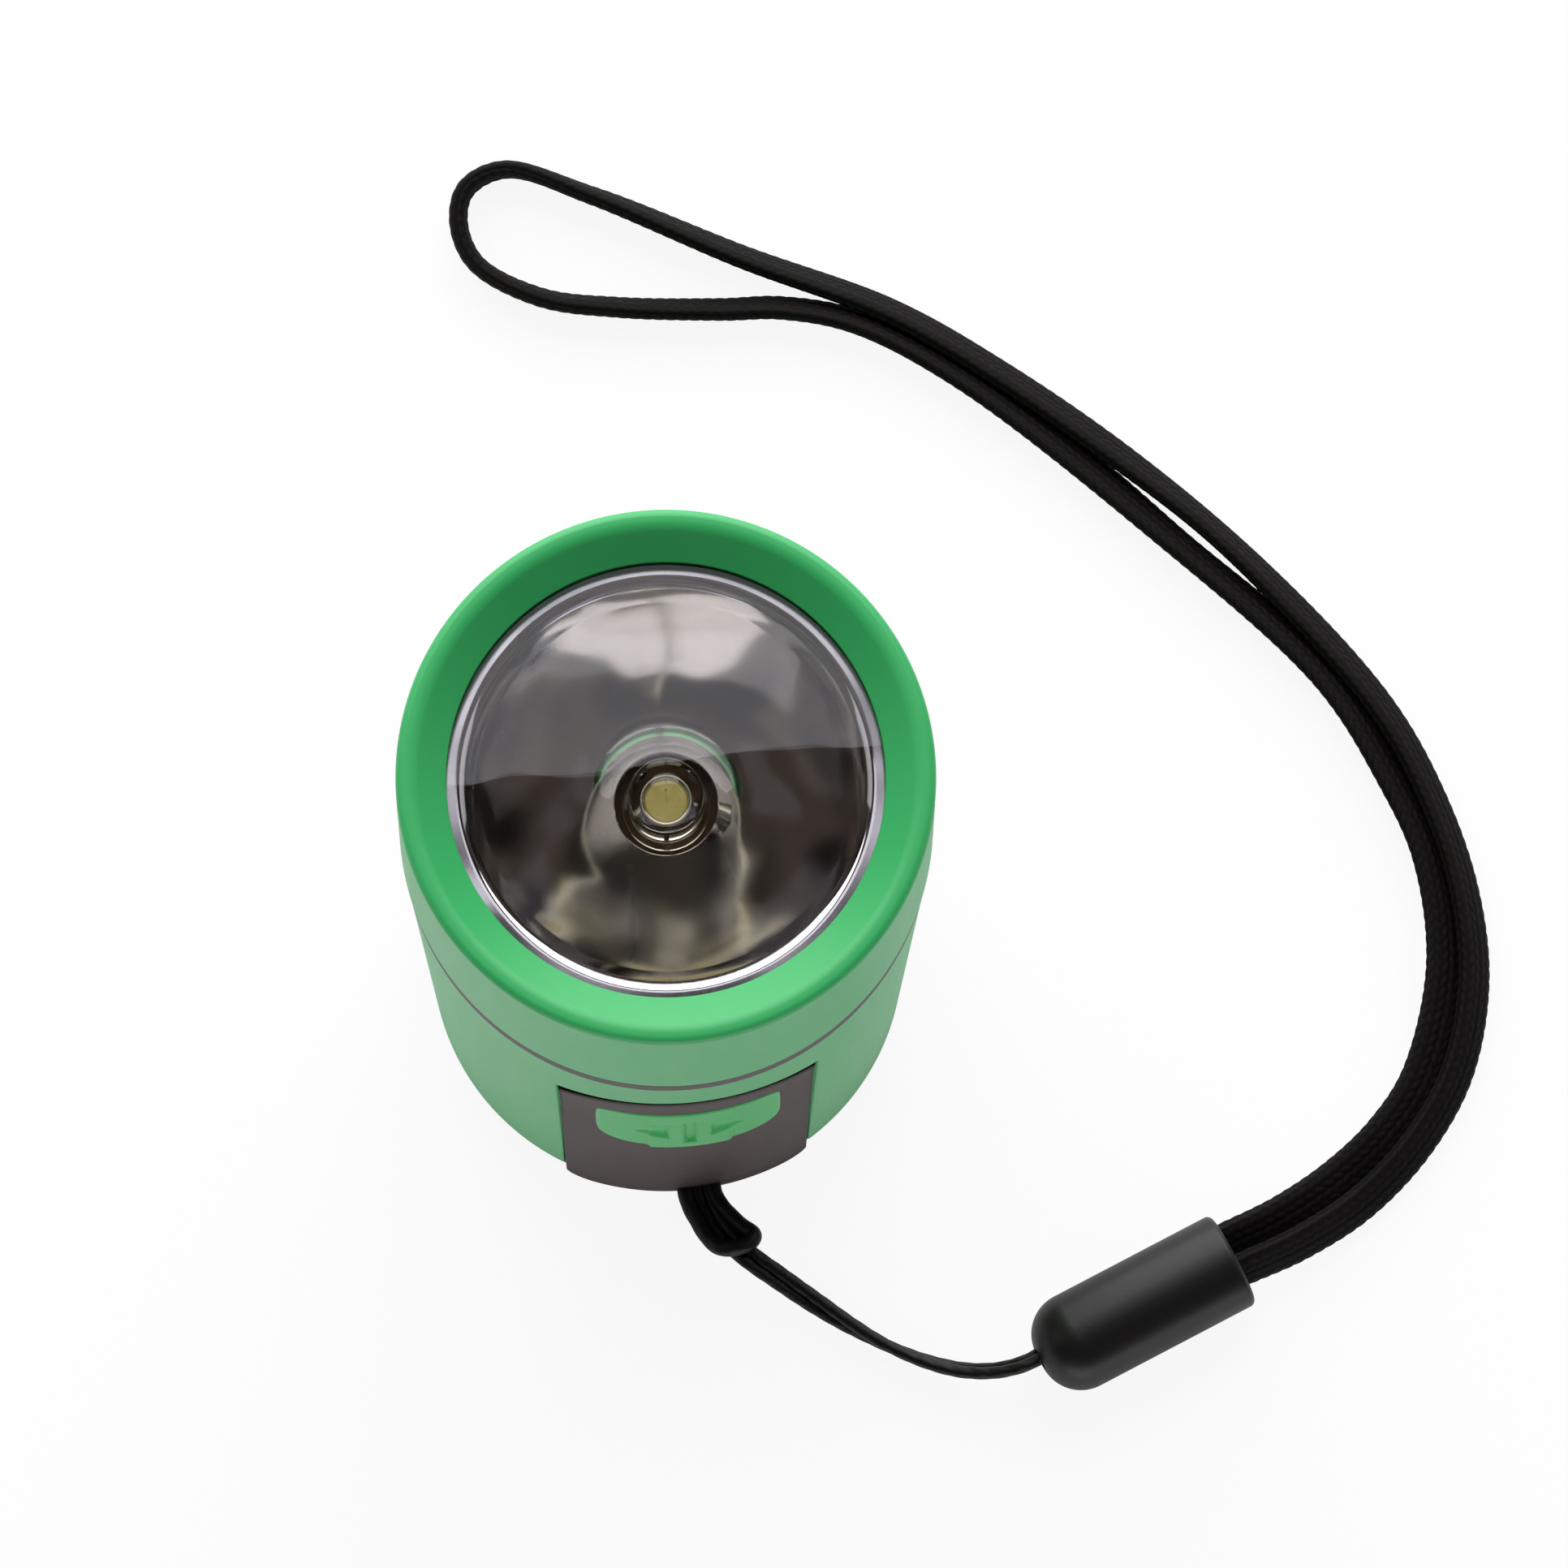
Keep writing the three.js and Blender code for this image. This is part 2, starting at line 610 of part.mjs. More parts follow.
function makeDriveGear() {
  const web = disc(driveRadius, 0, driveWebHeight);
  const rim = disc(driveRadius, driveWebHeight / 2, driveWebHeight / 2 + gearFace);
  const teeth = prism(internalTeeth(ringTeeth), driveWebHeight, gearFace + overrun);
  const screwHole = drill(screwRadius, 0, driveWebHeight);
  return cut(join(web, rim), teeth, screwHole);
}
piece('drive_gear', makeDriveGear(), acetal, [0, 0, driveBase]);

function makeIdler() {
  const pinion = prism(externalTeeth(pinionTeeth), pinionBase, wheelBase - pinionBase + overrun);
  const wheel = prism(externalTeeth(wheelTeeth), wheelBase, gearFace);
  return cut(join(pinion, wheel), drill(axleRadius, pinionBase, wheelTop - pinionBase));
}
piece('idler_gear', makeIdler(), acetal, [gearDistance, 0, 0]);
piece('idler_axle', disc(axleRadius, 0, plateTop - pinionBase, pinSides), steel,
  [gearDistance, 0, pinionBase]);

const bushRadius = shaftRadius + clearance + bushWall;
function makePlate() {
  const plate = disc(innerRadius, 0, plateThickness);
  const bushHole = drill(bushRadius, 0, plateThickness, 0, 0, smallSides);
  return cut(plate, bushHole, drill(axleRadius, 0, plateThickness, gearDistance));
}
piece('gear_plate', makePlate(), greyPlastic, [0, 0, plateBase]);

const bushBore = shaftRadius + clearance;
piece('bush_lower', ring(bushBore, bushRadius, 0, plateThickness, smallSides), brass, [0, 0, plateBase]);

// Rotor: steel shaft with its pinion and ring magnet
const canRadius = coreBore - canGap;
const bobbinRadius = canRadius - canWall - clearance;
const windingRadius = bobbinRadius - windingInset;
const windingBore = windingRadius - windingDepth + clearance;
const bobbinBore = windingBore - clearance - bobbinWall;
const bobbinHeight = canHeight - canWall - 2 * bobbinEndGap;
const bobbinBase = canBase + bobbinEndGap;
const magnetRadius = bobbinBore - magnetAirGap;
const magnetHeight = bobbinHeight - 2 * magnetEndGap;
const shaftBase = wheelBase - clearance;
piece('rotor_shaft', disc(shaftRadius, 0, canTop - shaftBase, pinSides), steel, [0, 0, shaftBase]);
piece('rotor_pinion', cut(
  prism(externalTeeth(rotorTeeth), 0, gearFace),
  disc(shaftRadius, -overrun, gearFace + 2 * overrun, pinSides),
), brass, [0, 0, wheelBase]);
piece('rotor_magnet', ring(shaftRadius + clearance, magnetRadius, 0, magnetHeight, smallSides), magnet,
  [0, 0, bobbinBase + magnetEndGap]);

// Stator: steel can, bobbin and copper winding round the magnet
function makeCan() {
  const shell = turned([
    [canRadius - canWall, 0], [canRadius, 0], [canRadius, canHeight], [bushRadius + clearance, canHeight],
    [bushRadius + clearance, canHeight - canWall], [canRadius - canWall, canHeight - canWall],
  ]);
  return shell;
}
piece('generator_can', makeCan(), steel, [0, 0, canBase]);
piece('bush_upper', ring(bushBore, bushRadius, 0, canWall + bobbinWall, smallSides), brass,
  [0, 0, canTop - canWall - bobbinWall]);
piece('coil_bobbin', turned([
  [bobbinBore, 0], [bobbinRadius, 0], [bobbinRadius, bobbinWall], [bobbinBore + bobbinWall, bobbinWall],
  [bobbinBore + bobbinWall, bobbinHeight - bobbinWall], [bobbinRadius, bobbinHeight - bobbinWall],
  [bobbinRadius, bobbinHeight], [bobbinBore, bobbinHeight],
], smallSides), acetal, [0, 0, bobbinBase]);
const windingEnd = bobbinWall + clearance;
piece('stator_coil', ring(windingBore, windingRadius, 0, bobbinHeight - 2 * windingEnd, smallSides), copper,
  [0, 0, bobbinBase + windingEnd]);

// Battery: three button cells in a spool-shaped holder under the ledge
const holderBore = cellRadius + clearance;
function makeHolder() {
  const spool = turned([
    [0, 0], [innerRadius, 0], [innerRadius, holderWall], [holderBore + holderWall, holderWall],
    [holderBore + holderWall, holderHeight - holderWall], [innerRadius, holderHeight - holderWall],
    [innerRadius, holderHeight], [holderBore, holderHeight], [holderBore, holderWall], [0, holderWall],
  ]);
  return cut(spool, ...wirePlaces.map(([x, y]) => drill(wireRadius, 0, holderHeight, x, y)));
}
piece('battery_holder', makeHolder(), blackPlastic, [0, 0, holderBase]);
for (let i = 0; i < cellCount; i++) {
  const base = holderBase + holderWall + clearance + i * (cellHeight + clearance);
  piece(`battery_cell_${i + 1}`, disc(cellRadius, 0, cellHeight, smallSides), steel, [0, 0, base]);
}
piece('battery_contact', disc(cellRadius, 0, contactThickness, smallSides), brass,
  [0, 0, holderTop - contactThickness]);

// Main board between the generator and the battery, with its capacitor and charge chip
const boardWidth = 2 * Math.sqrt((coreBore - boardEdgeGap) ** 2 - (boardOffset + boardThickness) ** 2);
const electronics = new THREE.Group();
electronics.position.set(0, -boardOffset, boardBase);
torch.add(electronics);
piece('main_board', block(0, 0, 0, boardWidth, boardThickness, boardHeight), boardGreen,
  [0, -boardThickness / 2, 0], electronics);
piece('capacitor', disc(capacitorRadius, 0, capacitorHeight, smallSides), blackPlastic,
  [-boardWidth / 4, capacitorRadius + clearance, clearance], electronics);
piece('charge_chip', block(0, 0, 0, chipWidth, chipThickness, chipHeight), blackPlastic,
  [boardWidth / 4, clearance + chipThickness / 2, clearance], electronics);

// Two lamp wires from the main board, up past the battery holder to the lamp board
const wireStart = boardBase + capacitorHeight + wireRadius + 3 * clearance;
const wireMaterials = { lamp_wire_red: wireRed, lamp_wire_black: wireBlack };
const wireSides = 6;
const wireSteps = 20;
Object.entries(wireMaterials).forEach(([name, material], i) => {
  const [x, y] = wirePlaces[i];
  const start = -boardOffset + clearance;
  const points = [
    [x, start, wireStart], [x, start + wireBend, wireStart], [x, 0, wireStart],
    [x, y - wireBend, wireStart], [x, y, wireStart + wireBend], [x, y, holderBase],
    [x, y, (holderBase + ledgeBase) / 2], [x, y, ledgeBase], [x, y, ledgeTop],
  ];
  piece(name, tube(points, wireRadius, wireSides, wireSteps), material);
});

// Tail: a fixed ring keeps the crank disc in the core
const tailRingBore = innerRadius - tailRingWidth;
piece('tail_ring', ring(tailRingBore, innerRadius, 0, tailRingHeight), greyPlastic,
  [0, 0, tailRecess]);

// Crank: disc with a slot for the folded arm and a pocket for its knob
const armMiddle = tailRecess + armThickness / 2;
const slotTop = tailRecess + armThickness + clearance;
const discRadius = tailRingBore - clearance;
const discFlangeRadius = innerRadius - clearance;
const discFlangeBase = tailRecess + tailRingHeight + clearance;
const pocketRadius = crankKnobRadius + pocketGap;
const hingeOffset = discRadius - hingeInset;
const knobOffset = discRadius - pocketRadius - pocketWall;
const armLength = hingeOffset + knobOffset;
function makeDisc() {
  const flangeTop = discFlangeBase + discFlangeHeight;
  const body = turned([
    [0, tailRecess], [discRadius, tailRecess], [discRadius, discFlangeBase],
    [discFlangeRadius, discFlangeBase], [discFlangeRadius, flangeTop], [discRadius, flangeTop],
    [discRadius, discTop], [0, discTop],
  ]);
  const slotEnd = knobOffset + armWidth / 2 + 2 * clearance;
  const slotLength = slotEnd + discFlangeRadius + overrun;
  const slotWidth = armWidth + 2 * clearance;
  const slotHeight = slotTop - tailRecess + overrun;
  const slot = block(slotEnd - slotLength / 2, 0, tailRecess - overrun, slotLength, slotWidth, slotHeight);
  const pocket = disc(pocketRadius, tailRecess, pocketHeight, smallSides).translate(knobOffset, 0, 0);
  const pinHole = drill(armPinRadius, overrun - armPinLength / 2 - clearance,
    armPinLength + 2 * (clearance - overrun)).rotateX(Math.PI / 2).translate(-hingeOffset, 0, armMiddle);
  const screwHole = drill(screwRadius, discTop - screwDepth - clearance + overrun, screwDepth + clearance);
  return cut(body, slot, pocket, pinHole, screwHole);
}
piece('crank_disc', makeDisc(), greyPlastic);
piece('drive_screw', turned([
  [0, -screwDepth - driveWebHeight - clearance], [screwRadius, -screwDepth - driveWebHeight - clearance],
  [screwRadius, clearance], [screwHeadRadius, clearance], [screwHeadRadius, clearance + screwHeadHeight],
  [0, clearance + screwHeadHeight],
], pinSides), steel, [0, 0, driveRingBase]);
piece('arm_pin', disc(armPinRadius, -armPinLength / 2, armPinLength, pinSides).rotateX(Math.PI / 2), steel,
  [-hingeOffset, 0, armMiddle]);

// Folding arm, round at the hinge in side view and round at the knob in plan
function makeArm() {
  const half = armThickness / 2;
  const side = new THREE.Shape();
  side.absarc(0, 0, half, Math.PI / 2, 1.5 * Math.PI, false);
  side.lineTo(armLength + armWidth / 2, -half);
  side.lineTo(armLength + armWidth / 2, half);
  side.closePath();
  const bar = prism(side, 0, armWidth, cornerSegments).rotateX(Math.PI / 2).translate(0, armWidth / 2, 0);
  const plan = new THREE.Shape();
  plan.absarc(armLength, 0, armWidth / 2, -Math.PI / 2, Math.PI / 2, false);
  plan.lineTo(-half - overrun, armWidth / 2);
  plan.lineTo(-half - overrun, -armWidth / 2);
  plan.closePath();
  const outline = prism(plan, -half - overrun, armThickness + 2 * overrun);
  const hinge = disc(armPinRadius + clearance, -armWidth, 2 * armWidth, pinSides).rotateX(Math.PI / 2);
  const knobHole = disc(knobPinRadius + clearance, -armThickness, 2 * armThickness, pinSides)
    .translate(armLength, 0, 0);
  return cut(common(bar, outline), hinge, knobHole);
}
piece('crank_arm', makeArm(), greenPlastic, [-hingeOffset, 0, armMiddle]);

// Knob on its rivet at the arm's end
piece('crank_knob', turned([
  [knobPinRadius + clearance, 0], [crankKnobRadius - knobEase, 0], [crankKnobRadius, knobEase],
  [crankKnobRadius, crankKnobHeight - knobEase], [crankKnobRadius - knobEase, crankKnobHeight],
  [knobPinRadius + clearance, crankKnobHeight],
], smallSides), blackPlastic, [knobOffset, 0, slotTop]);
const knobPinLength = armThickness + clearance + crankKnobHeight;
piece('knob_pin', disc(knobPinRadius, 0, knobPinLength, pinSides), steel, [knobOffset, 0, tailRecess]);

// Lanyard pin across the notch in the foot, under the switch panel
piece('lanyard_pin', disc(lanyardPinRadius, 0, footHeight - 2 * clearance, pinSides), steel,
  [0, lanyardPinPlace, clearance]);

// Thin cord: two strands from the lanyard pin to the bead, laid with half a turn of twist.
// The route is the line between the strands
const cordRoute = [
  [0.9, -16.9, 1.3], [1.2, -18.6, 1.4], [2.2, -20.9, 1.7], [3.9, -22.8, 1.95], [6.0, -24.6, 1.75],
  [8.3, -26.5, 1.45], [11.0, -28.6, 1.3], [13.7, -30.4, 1.3], [16.4, -31.8, 1.5], [19.0, -32.7, 2.0],
  [21.4, -33.0, 2.9], [23.4, -32.75, 3.6],
];
const twistStartShare = 0.25;
const twistEndShare = 0.85;
const strandSides = 8;
const strandSteps = 20;
const strandPoints = 14;
function strand(side) {
  const line = new THREE.CatmullRomCurve3(cordRoute.map((point) => new THREE.Vector3(...point)));
  const points = [];
  for (let i = 0; i <= strandPoints; i++) {
    const share = i / strandPoints;
    const at = line.getPointAt(share);
    const along = line.getTangentAt(share);
    const twist = Math.PI * THREE.MathUtils.smoothstep(share, twistStartShare, twistEndShare);
    const across = new THREE.Vector3(-along.y, along.x, 0).normalize();
    at.addScaledVector(across, side * strandPitchRadius * Math.cos(twist));
    at.z += side * strandPitchRadius * Math.sin(twist);
    points.push(at.toArray());
  }
  return tube(points, strandRadius, strandSides, strandSteps);
}
piece('strap_strand_a', strand(1), cordBlack);
piece('strap_strand_b', strand(-1), cordBlack);

// Collar of the hitch: the cord's bight wrapped round both strands just outside the foot
function makeCollar() {
  const innerHeight = strandRadius + clearance;
  const innerWidth = strandPitchRadius + innerHeight;
  const flat = innerWidth - innerHeight;
  const outline = (Kind, radius) => {
    const shape = new Kind();
    shape.absarc(flat, 0, radius, -Math.PI / 2, Math.PI / 2, false);
    shape.absarc(-flat, 0, radius, Math.PI / 2, 1.5 * Math.PI, false);
    shape.closePath();
    return shape;
  };
  const section = outline(THREE.Shape, innerHeight + collarThickness);
  section.holes.push(outline(THREE.Path, innerHeight));
  return prism(section, -collarLength / 2, collarLength, 2 * cornerSegments).rotateX(Math.PI / 2)
    .rotateZ(collarTurn);
}
const collarPoint = 3; // of the cord's route
const collarTurn = Math.PI / 4;
piece('strap_collar', makeCollar(), cordBlack, cordRoute[collarPoint]);

// Bead: a satin sleeve that gathers the thin cord at its round nose and the band at its square end
const beadTail = [39.45, -26.2];
const beadDirection = [-0.925, -0.38];
const beadTurn = Math.atan2(beadDirection[1], beadDirection[0]);
function makeBead() {
  const steps = 5;
  const tailSteps = 2;
  const profile = [[0, 0]];
  for (let i = 0; i <= tailSteps; i++) {
    const angle = (i / tailSteps) * (Math.PI / 2);
    const inset = beadTailRound * (1 - Math.sin(angle));
    profile.push([beadRadius - inset, beadTailRound * (1 - Math.cos(angle))]);
  }
  for (let i = 0; i <= steps; i++) {
    const angle = (i / steps) * (Math.PI / 2);
    const inset = beadNoseRadius * (1 - Math.cos(angle));
    profile.push([beadRadius - inset, beadLength - beadNoseRadius * (1 - Math.sin(angle))]);
  }
  profile.push([0, beadLength]);
  return turned(profile, smallSides).rotateY(Math.PI / 2).rotateZ(beadTurn);
}
piece('strap_bead', makeBead(), blackPlastic, [...beadTail, beadRadius]);

// Band: one flat braid from the bead round the far loop and back, its two legs side by side
const bandRoute = [
  [40.25, -27.3, 3.5], [44.6, -25.8, 2.7], [49.6, -23.2, 1.7], [54.2, -19.2, 1.65], [57.7, -14.1, 1.65],
  [59.6, -7.3, 1.65], [59.5, -0.3, 1.65], [57.8, 6.9, 1.65], [54.7, 14.0, 1.65], [46.6, 25.1, 1.65],
  [37.9, 34.3, 1.65], [28.9, 41.9, 1.65], [21.0, 47.4, 1.65], [10.2, 52.4, 1.65], [-0.3, 57.9, 1.65],
  [-6.7, 60.5, 1.65], [-9.7, 59.3, 1.65], [-10.5, 56.8, 1.65], [-9.5, 53.6, 1.65], [-5.0, 50.55, 1.65],
  [0.7, 49.1, 1.65], [8.5, 48.0, 1.65], [13.0, 47.6, 1.65], [18.3, 46.0, 1.65], [25.8, 41.0, 1.65],
  [39.4, 28.1, 1.65], [50.7, 16.1, 1.65], [54.8, 8.4, 1.65], [57.0, 2.2, 1.65], [57.3, -6.0, 1.65],
  [54.7, -13.9, 1.65], [51.6, -17.8, 1.65], [47.8, -20.8, 1.7], [43.4, -23.3, 2.7], [39.3, -24.95, 3.5],
];
const bandSteps = 78;
function makeBand() {
  const section = new THREE.Shape();
  section.absellipse(0, 0, bandDepth / 2, bandWidth / 2, 0, 2 * Math.PI, false);
  const path = new THREE.CatmullRomCurve3(bandRoute.map((point) => new THREE.Vector3(...point)));
  const options = { extrudePath: path, steps: bandSteps, curveSegments: cornerSegments, bevelEnabled: false };
  return new THREE.ExtrudeGeometry(section, options);
}
piece('strap_band', makeBand(), cordBlack);

export default torch;
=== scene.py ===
import json
import bmesh
import bpy
import numpy as np
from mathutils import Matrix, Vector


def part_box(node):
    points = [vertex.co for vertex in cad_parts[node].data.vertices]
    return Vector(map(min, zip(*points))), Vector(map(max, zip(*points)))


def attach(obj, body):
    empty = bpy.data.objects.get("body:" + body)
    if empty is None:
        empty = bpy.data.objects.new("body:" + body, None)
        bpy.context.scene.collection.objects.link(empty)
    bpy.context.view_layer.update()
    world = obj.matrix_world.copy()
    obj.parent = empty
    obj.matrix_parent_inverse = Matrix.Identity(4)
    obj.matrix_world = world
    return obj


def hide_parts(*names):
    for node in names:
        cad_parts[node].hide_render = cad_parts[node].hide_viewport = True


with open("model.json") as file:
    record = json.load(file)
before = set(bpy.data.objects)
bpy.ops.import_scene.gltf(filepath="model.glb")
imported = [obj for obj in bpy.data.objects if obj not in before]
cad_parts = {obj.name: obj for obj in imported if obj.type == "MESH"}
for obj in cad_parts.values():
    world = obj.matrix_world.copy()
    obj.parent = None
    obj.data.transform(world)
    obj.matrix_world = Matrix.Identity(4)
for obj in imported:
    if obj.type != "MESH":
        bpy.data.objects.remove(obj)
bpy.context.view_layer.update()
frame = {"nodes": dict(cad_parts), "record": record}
mm = 0.001  # in metres

# Camera: a long lens looks almost straight down on the standing torch, a little from its front, so that the
# switch panel shows below the bezel. Its place in millimetres, its turn in degrees and its focal length
# follow the photograph.
camera_place = (-7.805, -94.148, 766.401)
camera_turn = (8.0, -0.569, -5.38)
focal_length = 237.9
sensor_width = 36
nearest_seen = 0.01  # metres

camera = bpy.data.objects.new("camera", bpy.data.cameras.new("camera"))
bpy.context.scene.collection.objects.link(camera)
camera.location = np.array(camera_place) * mm
camera.rotation_euler = np.radians(camera_turn)
camera.data.lens = focal_length
camera.data.sensor_width = sensor_width
camera.data.clip_start = nearest_seen
bpy.context.scene.camera = camera


# Thin cord of the wrist strap: one loop of glossy twisted nylon, hitched through the notch in the torch's
# foot. Its two strands run side by side, twist by half a turn and go into the bead.
def linear(hex_colour):
    """sRGB hex to linear RGBA: a share of 12.92 below 0.04045, and a power of 2.4 above it."""
    parts = np.array([int(hex_colour[i : i + 2], 16) for i in (1, 3, 5)]) / 255
    curve = np.where(parts <= 0.04045, parts / 12.92, ((parts + 0.055) / 1.055) ** 2.4)
    return (*curve.tolist(), 1.0)


def add(tree, kind, sockets=None, **settings):
    """Adds one node. Its settings are its own properties, and a socket takes a value or a link."""
    made = tree.nodes.new(kind)
    for name, value in settings.items():
        setattr(made, name, value)
    for key, value in (sockets or {}).items():
        if isinstance(value, bpy.types.NodeSocket):
            tree.links.new(value, made.inputs[key])
        else:
            made.inputs[key].default_value = value
    return made


def new_material(name, **shader):
    """A material with one Principled shader, whose even values are set on its own sockets."""
    material = bpy.data.materials.new(name)
    material.use_nodes = True
    tree = material.node_tree
    principled = tree.nodes["Principled BSDF"]
    for key, value in shader.items():
        principled.inputs[key.replace("_", " ")].default_value = value
    return material, tree, principled


def grid_faces(rows, columns, wrap_rows=False, wrap_columns=False):
    """Quads of a grid of points numbered row by row; a wrapped side joins its last line to its first."""
    row = np.arange(rows if wrap_rows else rows - 1)[:, None]
    column = np.arange(columns if wrap_columns else columns - 1)[None, :]
    next_row = (row + 1) % rows
    next_column = (column + 1) % columns
    corners = [
        row * columns + column,
        row * columns + next_column,
        next_row * columns + next_column,
        next_row * columns + column,
    ]
    return np.stack(np.broadcast_arrays(*corners), -1).reshape(-1, 4)


def tube_faces(rings, sides):
    """Quads of a tube of rings, with one flat cap at each end."""
    quads = grid_faces(rings, sides, wrap_columns=True)
    first = list(range(sides))
    last = [(rings - 1) * sides + i for i in first]
    return [*quads.tolist(), first[::-1], last]


def piece(name, points, faces, material, body, replaced=(), uv=None):
    """A smooth mesh object from millimetre points, with its place in its mesh and its faces outwards."""
    mesh = bpy.data.meshes.new(name)
    points = np.asarray(points, float).reshape(-1, 3)
    mesh.from_pydata((points * mm).tolist(), [], [list(face) for face in faces])
    if uv is not None:
        corner = np.zeros(len(mesh.loops), np.int32)
        mesh.loops.foreach_get("vertex_index", corner)
        layer = mesh.uv_layers.new(name="pattern")
        layer.data.foreach_set("uv", np.asarray(uv, np.float32)[corner].ravel())
    shell = bmesh.new()
    shell.from_mesh(mesh)
    bmesh.ops.recalc_face_normals(shell, faces=shell.faces)
    shell.to_mesh(mesh)
    shell.free()
    mesh.polygons.foreach_set("use_smooth", np.ones(len(mesh.polygons), bool))
    mesh.materials.append(material)
    made = bpy.data.objects.new(name, mesh)
    bpy.context.scene.collection.objects.link(made)
    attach(made, body)
    if replaced:
        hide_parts(*replaced)
    return made


def line_length(line):
    """The length of a line of points."""
    return float(np.linalg.norm(np.diff(line, axis=0), axis=1).sum())


def evened(line, count, closed=False):
    """A line as a number of points at equal steps of length. A closed one leaves out its last point."""
    run = np.concatenate([[0], np.cumsum(np.linalg.norm(np.diff(line, axis=0), axis=1))])
    even = np.linspace(0, run[-1], count, endpoint=not closed)
    return np.stack([np.interp(even, run, values) for values in line.T], 1)


def smooth_line(points, spacing):
    """A smooth curve through the points, as points at equal steps of length. Between two points it is a
    cubic whose slopes are those of the parabola through each point and its two neighbours, over the
    square root of the distance between them."""
    points = np.asarray(points, float)
    step = np.sqrt(np.linalg.norm(np.diff(points, axis=0), axis=1))
    time = np.concatenate([[0], np.cumsum(step)])
    slope = np.diff(points, axis=0) / step[:, None]
    tangent = np.concatenate([slope[:1], slope[-1:], slope[-1:]])[[0] * (len(points) - 1) + [1]]
    before, after = step[:-1, None], step[1:, None]
    tangent[1:-1] = (slope[:-1] * after + slope[1:] * before) / (before + after)
    fine = np.linspace(0, time[-1], 100 * len(points))
    cell = np.clip(np.searchsorted(time, fine, "right") - 1, 0, len(step) - 1)
    width = step[cell][:, None]
    share = (fine - time[cell])[:, None] / width
    line = (2 * share**3 - 3 * share**2 + 1) * points[cell]
    line += (share**3 - 2 * share**2 + share) * width * tangent[cell]
    line += (3 * share**2 - 2 * share**3) * points[cell + 1]
    line += (share**3 - share**2) * width * tangent[cell + 1]
    return evened(line, int(line_length(line) / spacing))


def unit(vectors):
    """The vectors at length 1."""
    return vectors / np.linalg.norm(vectors, axis=-1, keepdims=True)


def line_frame(line):
    """Along, to the left and up of a line that lies mostly level, at each of its points."""
    along = unit(np.gradient(line, axis=0))
    left = unit(np.stack([-along[:, 1], along[:, 0], np.zeros(len(line))], 1))
    return along, left, np.cross(along, left)


def eased_table(share, shares, values, steps):
    """Values at shares of a length, joined by straight lines. Each is then the mean of its neighbours over
    a number of steps, weighted by a raised cosine."""
    weights = np.hanning(steps)
    reach = steps // 2
    table = np.pad(np.interp(share, shares, values), reach, "edge")
    return np.convolve(table, weights / weights.sum(), "same")[reach:-reach]


def dyed_fibre(name, roughness, gloss, thread_scale, tones, relief, strength, height=None):
    """Dyed fibre: threads along the piece's own pattern ripple its surface. Its tone goes from dark in the
    hollows to lighter on the crests, with the threads or with a height that the piece's points carry: painted
    shade between the threads."""
    material, tree, shader = new_material(name, Roughness=roughness, Specular_IOR_Level=gloss)
    pattern = add(tree, "ShaderNodeUVMap", uv_map="pattern").outputs["UV"]
    fibre = add(tree, "ShaderNodeMapping", {"Vector": pattern, "Scale": thread_scale}).outputs["Vector"]
    threads = add(tree, "ShaderNodeTexNoise", {"Vector": fibre, "Scale": 1, "Detail": 3}).outputs["Fac"]
    crest = add(tree, "ShaderNodeAttribute", attribute_name=height).outputs["Fac"] if height else threads
    tone = add(tree, "ShaderNodeValToRGB", {"Fac": crest})
    for element, colour in zip(tone.color_ramp.elements, tones):
        element.color = linear(colour)
    tree.links.new(tone.outputs["Color"], shader.inputs["Base Color"])
    bump = add(tree, "ShaderNodeBump", {"Height": threads, "Distance": relief * mm, "Strength": strength})
    tree.links.new(bump.outputs["Normal"], shader.inputs["Normal"])
    return material


cord_route = [
    (0.9, -16.9, 1.3), (1.2, -18.6, 1.4), (2.2, -20.9, 1.7), (3.9, -22.8, 1.95), (6.0, -24.6, 1.75),
    (8.3, -26.5, 1.45), (11.0, -28.6, 1.3), (13.7, -30.4, 1.3), (16.4, -31.8, 1.5), (19.0, -32.7, 2.0),
    (21.4, -33.0, 2.9), (23.4, -32.75, 3.6), (24.6, -32.3, 3.7),
]
strand_radius = 0.47
strand_pitch_radius = 0.43  # from the line between the strands to the middle of each
twist_shares = [0, 0.2, 0.4, 0.58, 0.76, 1]
twist_degrees = [0, 4, 36, 90, 113, 118]
lay_length = 1.5  # along the strand, for one turn of its three yarns
yarn_count = 3
yarn_relief = 0.03
strand_sides = 30
strand_step = 0.12
twist_ease = 40  # steps of the line over which the twist is smoothed

# Twisted filament nylon, dyed black: smooth yarns with a bright, narrow gloss along each, and colour painted
# darker where the threads dip, as painted shade
nylon_cord = dyed_fibre("twisted_nylon_cord", 0.36, 0.35, (2, 40, 1), ("#070505", "#130E0E"), 0.03, 0.6)


def yarn_tube(path, radius, sides, hand):
    """A twisted cord along a path: its radius dips between the yarns, which wind round it by one turn in
    each lay length, in the sense of the hand. Gives its points and its pattern coordinates."""
    along, left, up = line_frame(path)
    run = np.linspace(0, line_length(path), len(path))
    turning = np.linspace(0, 2 * np.pi, sides, endpoint=False)
    phase = yarn_count * turning[None, :] - 2 * np.pi * run[:, None] / lay_length * hand
    reach = radius - yarn_relief * (1 - np.abs(np.cos(phase / 2)))
    ring = np.cos(turning)[None, :, None] * left[:, None] + np.sin(turning)[None, :, None] * up[:, None]
    uv = np.stack(np.broadcast_arrays(run[:, None], phase / (2 * np.pi)), -1).reshape(-1, 2)
    return path[:, None] + reach[..., None] * ring, uv


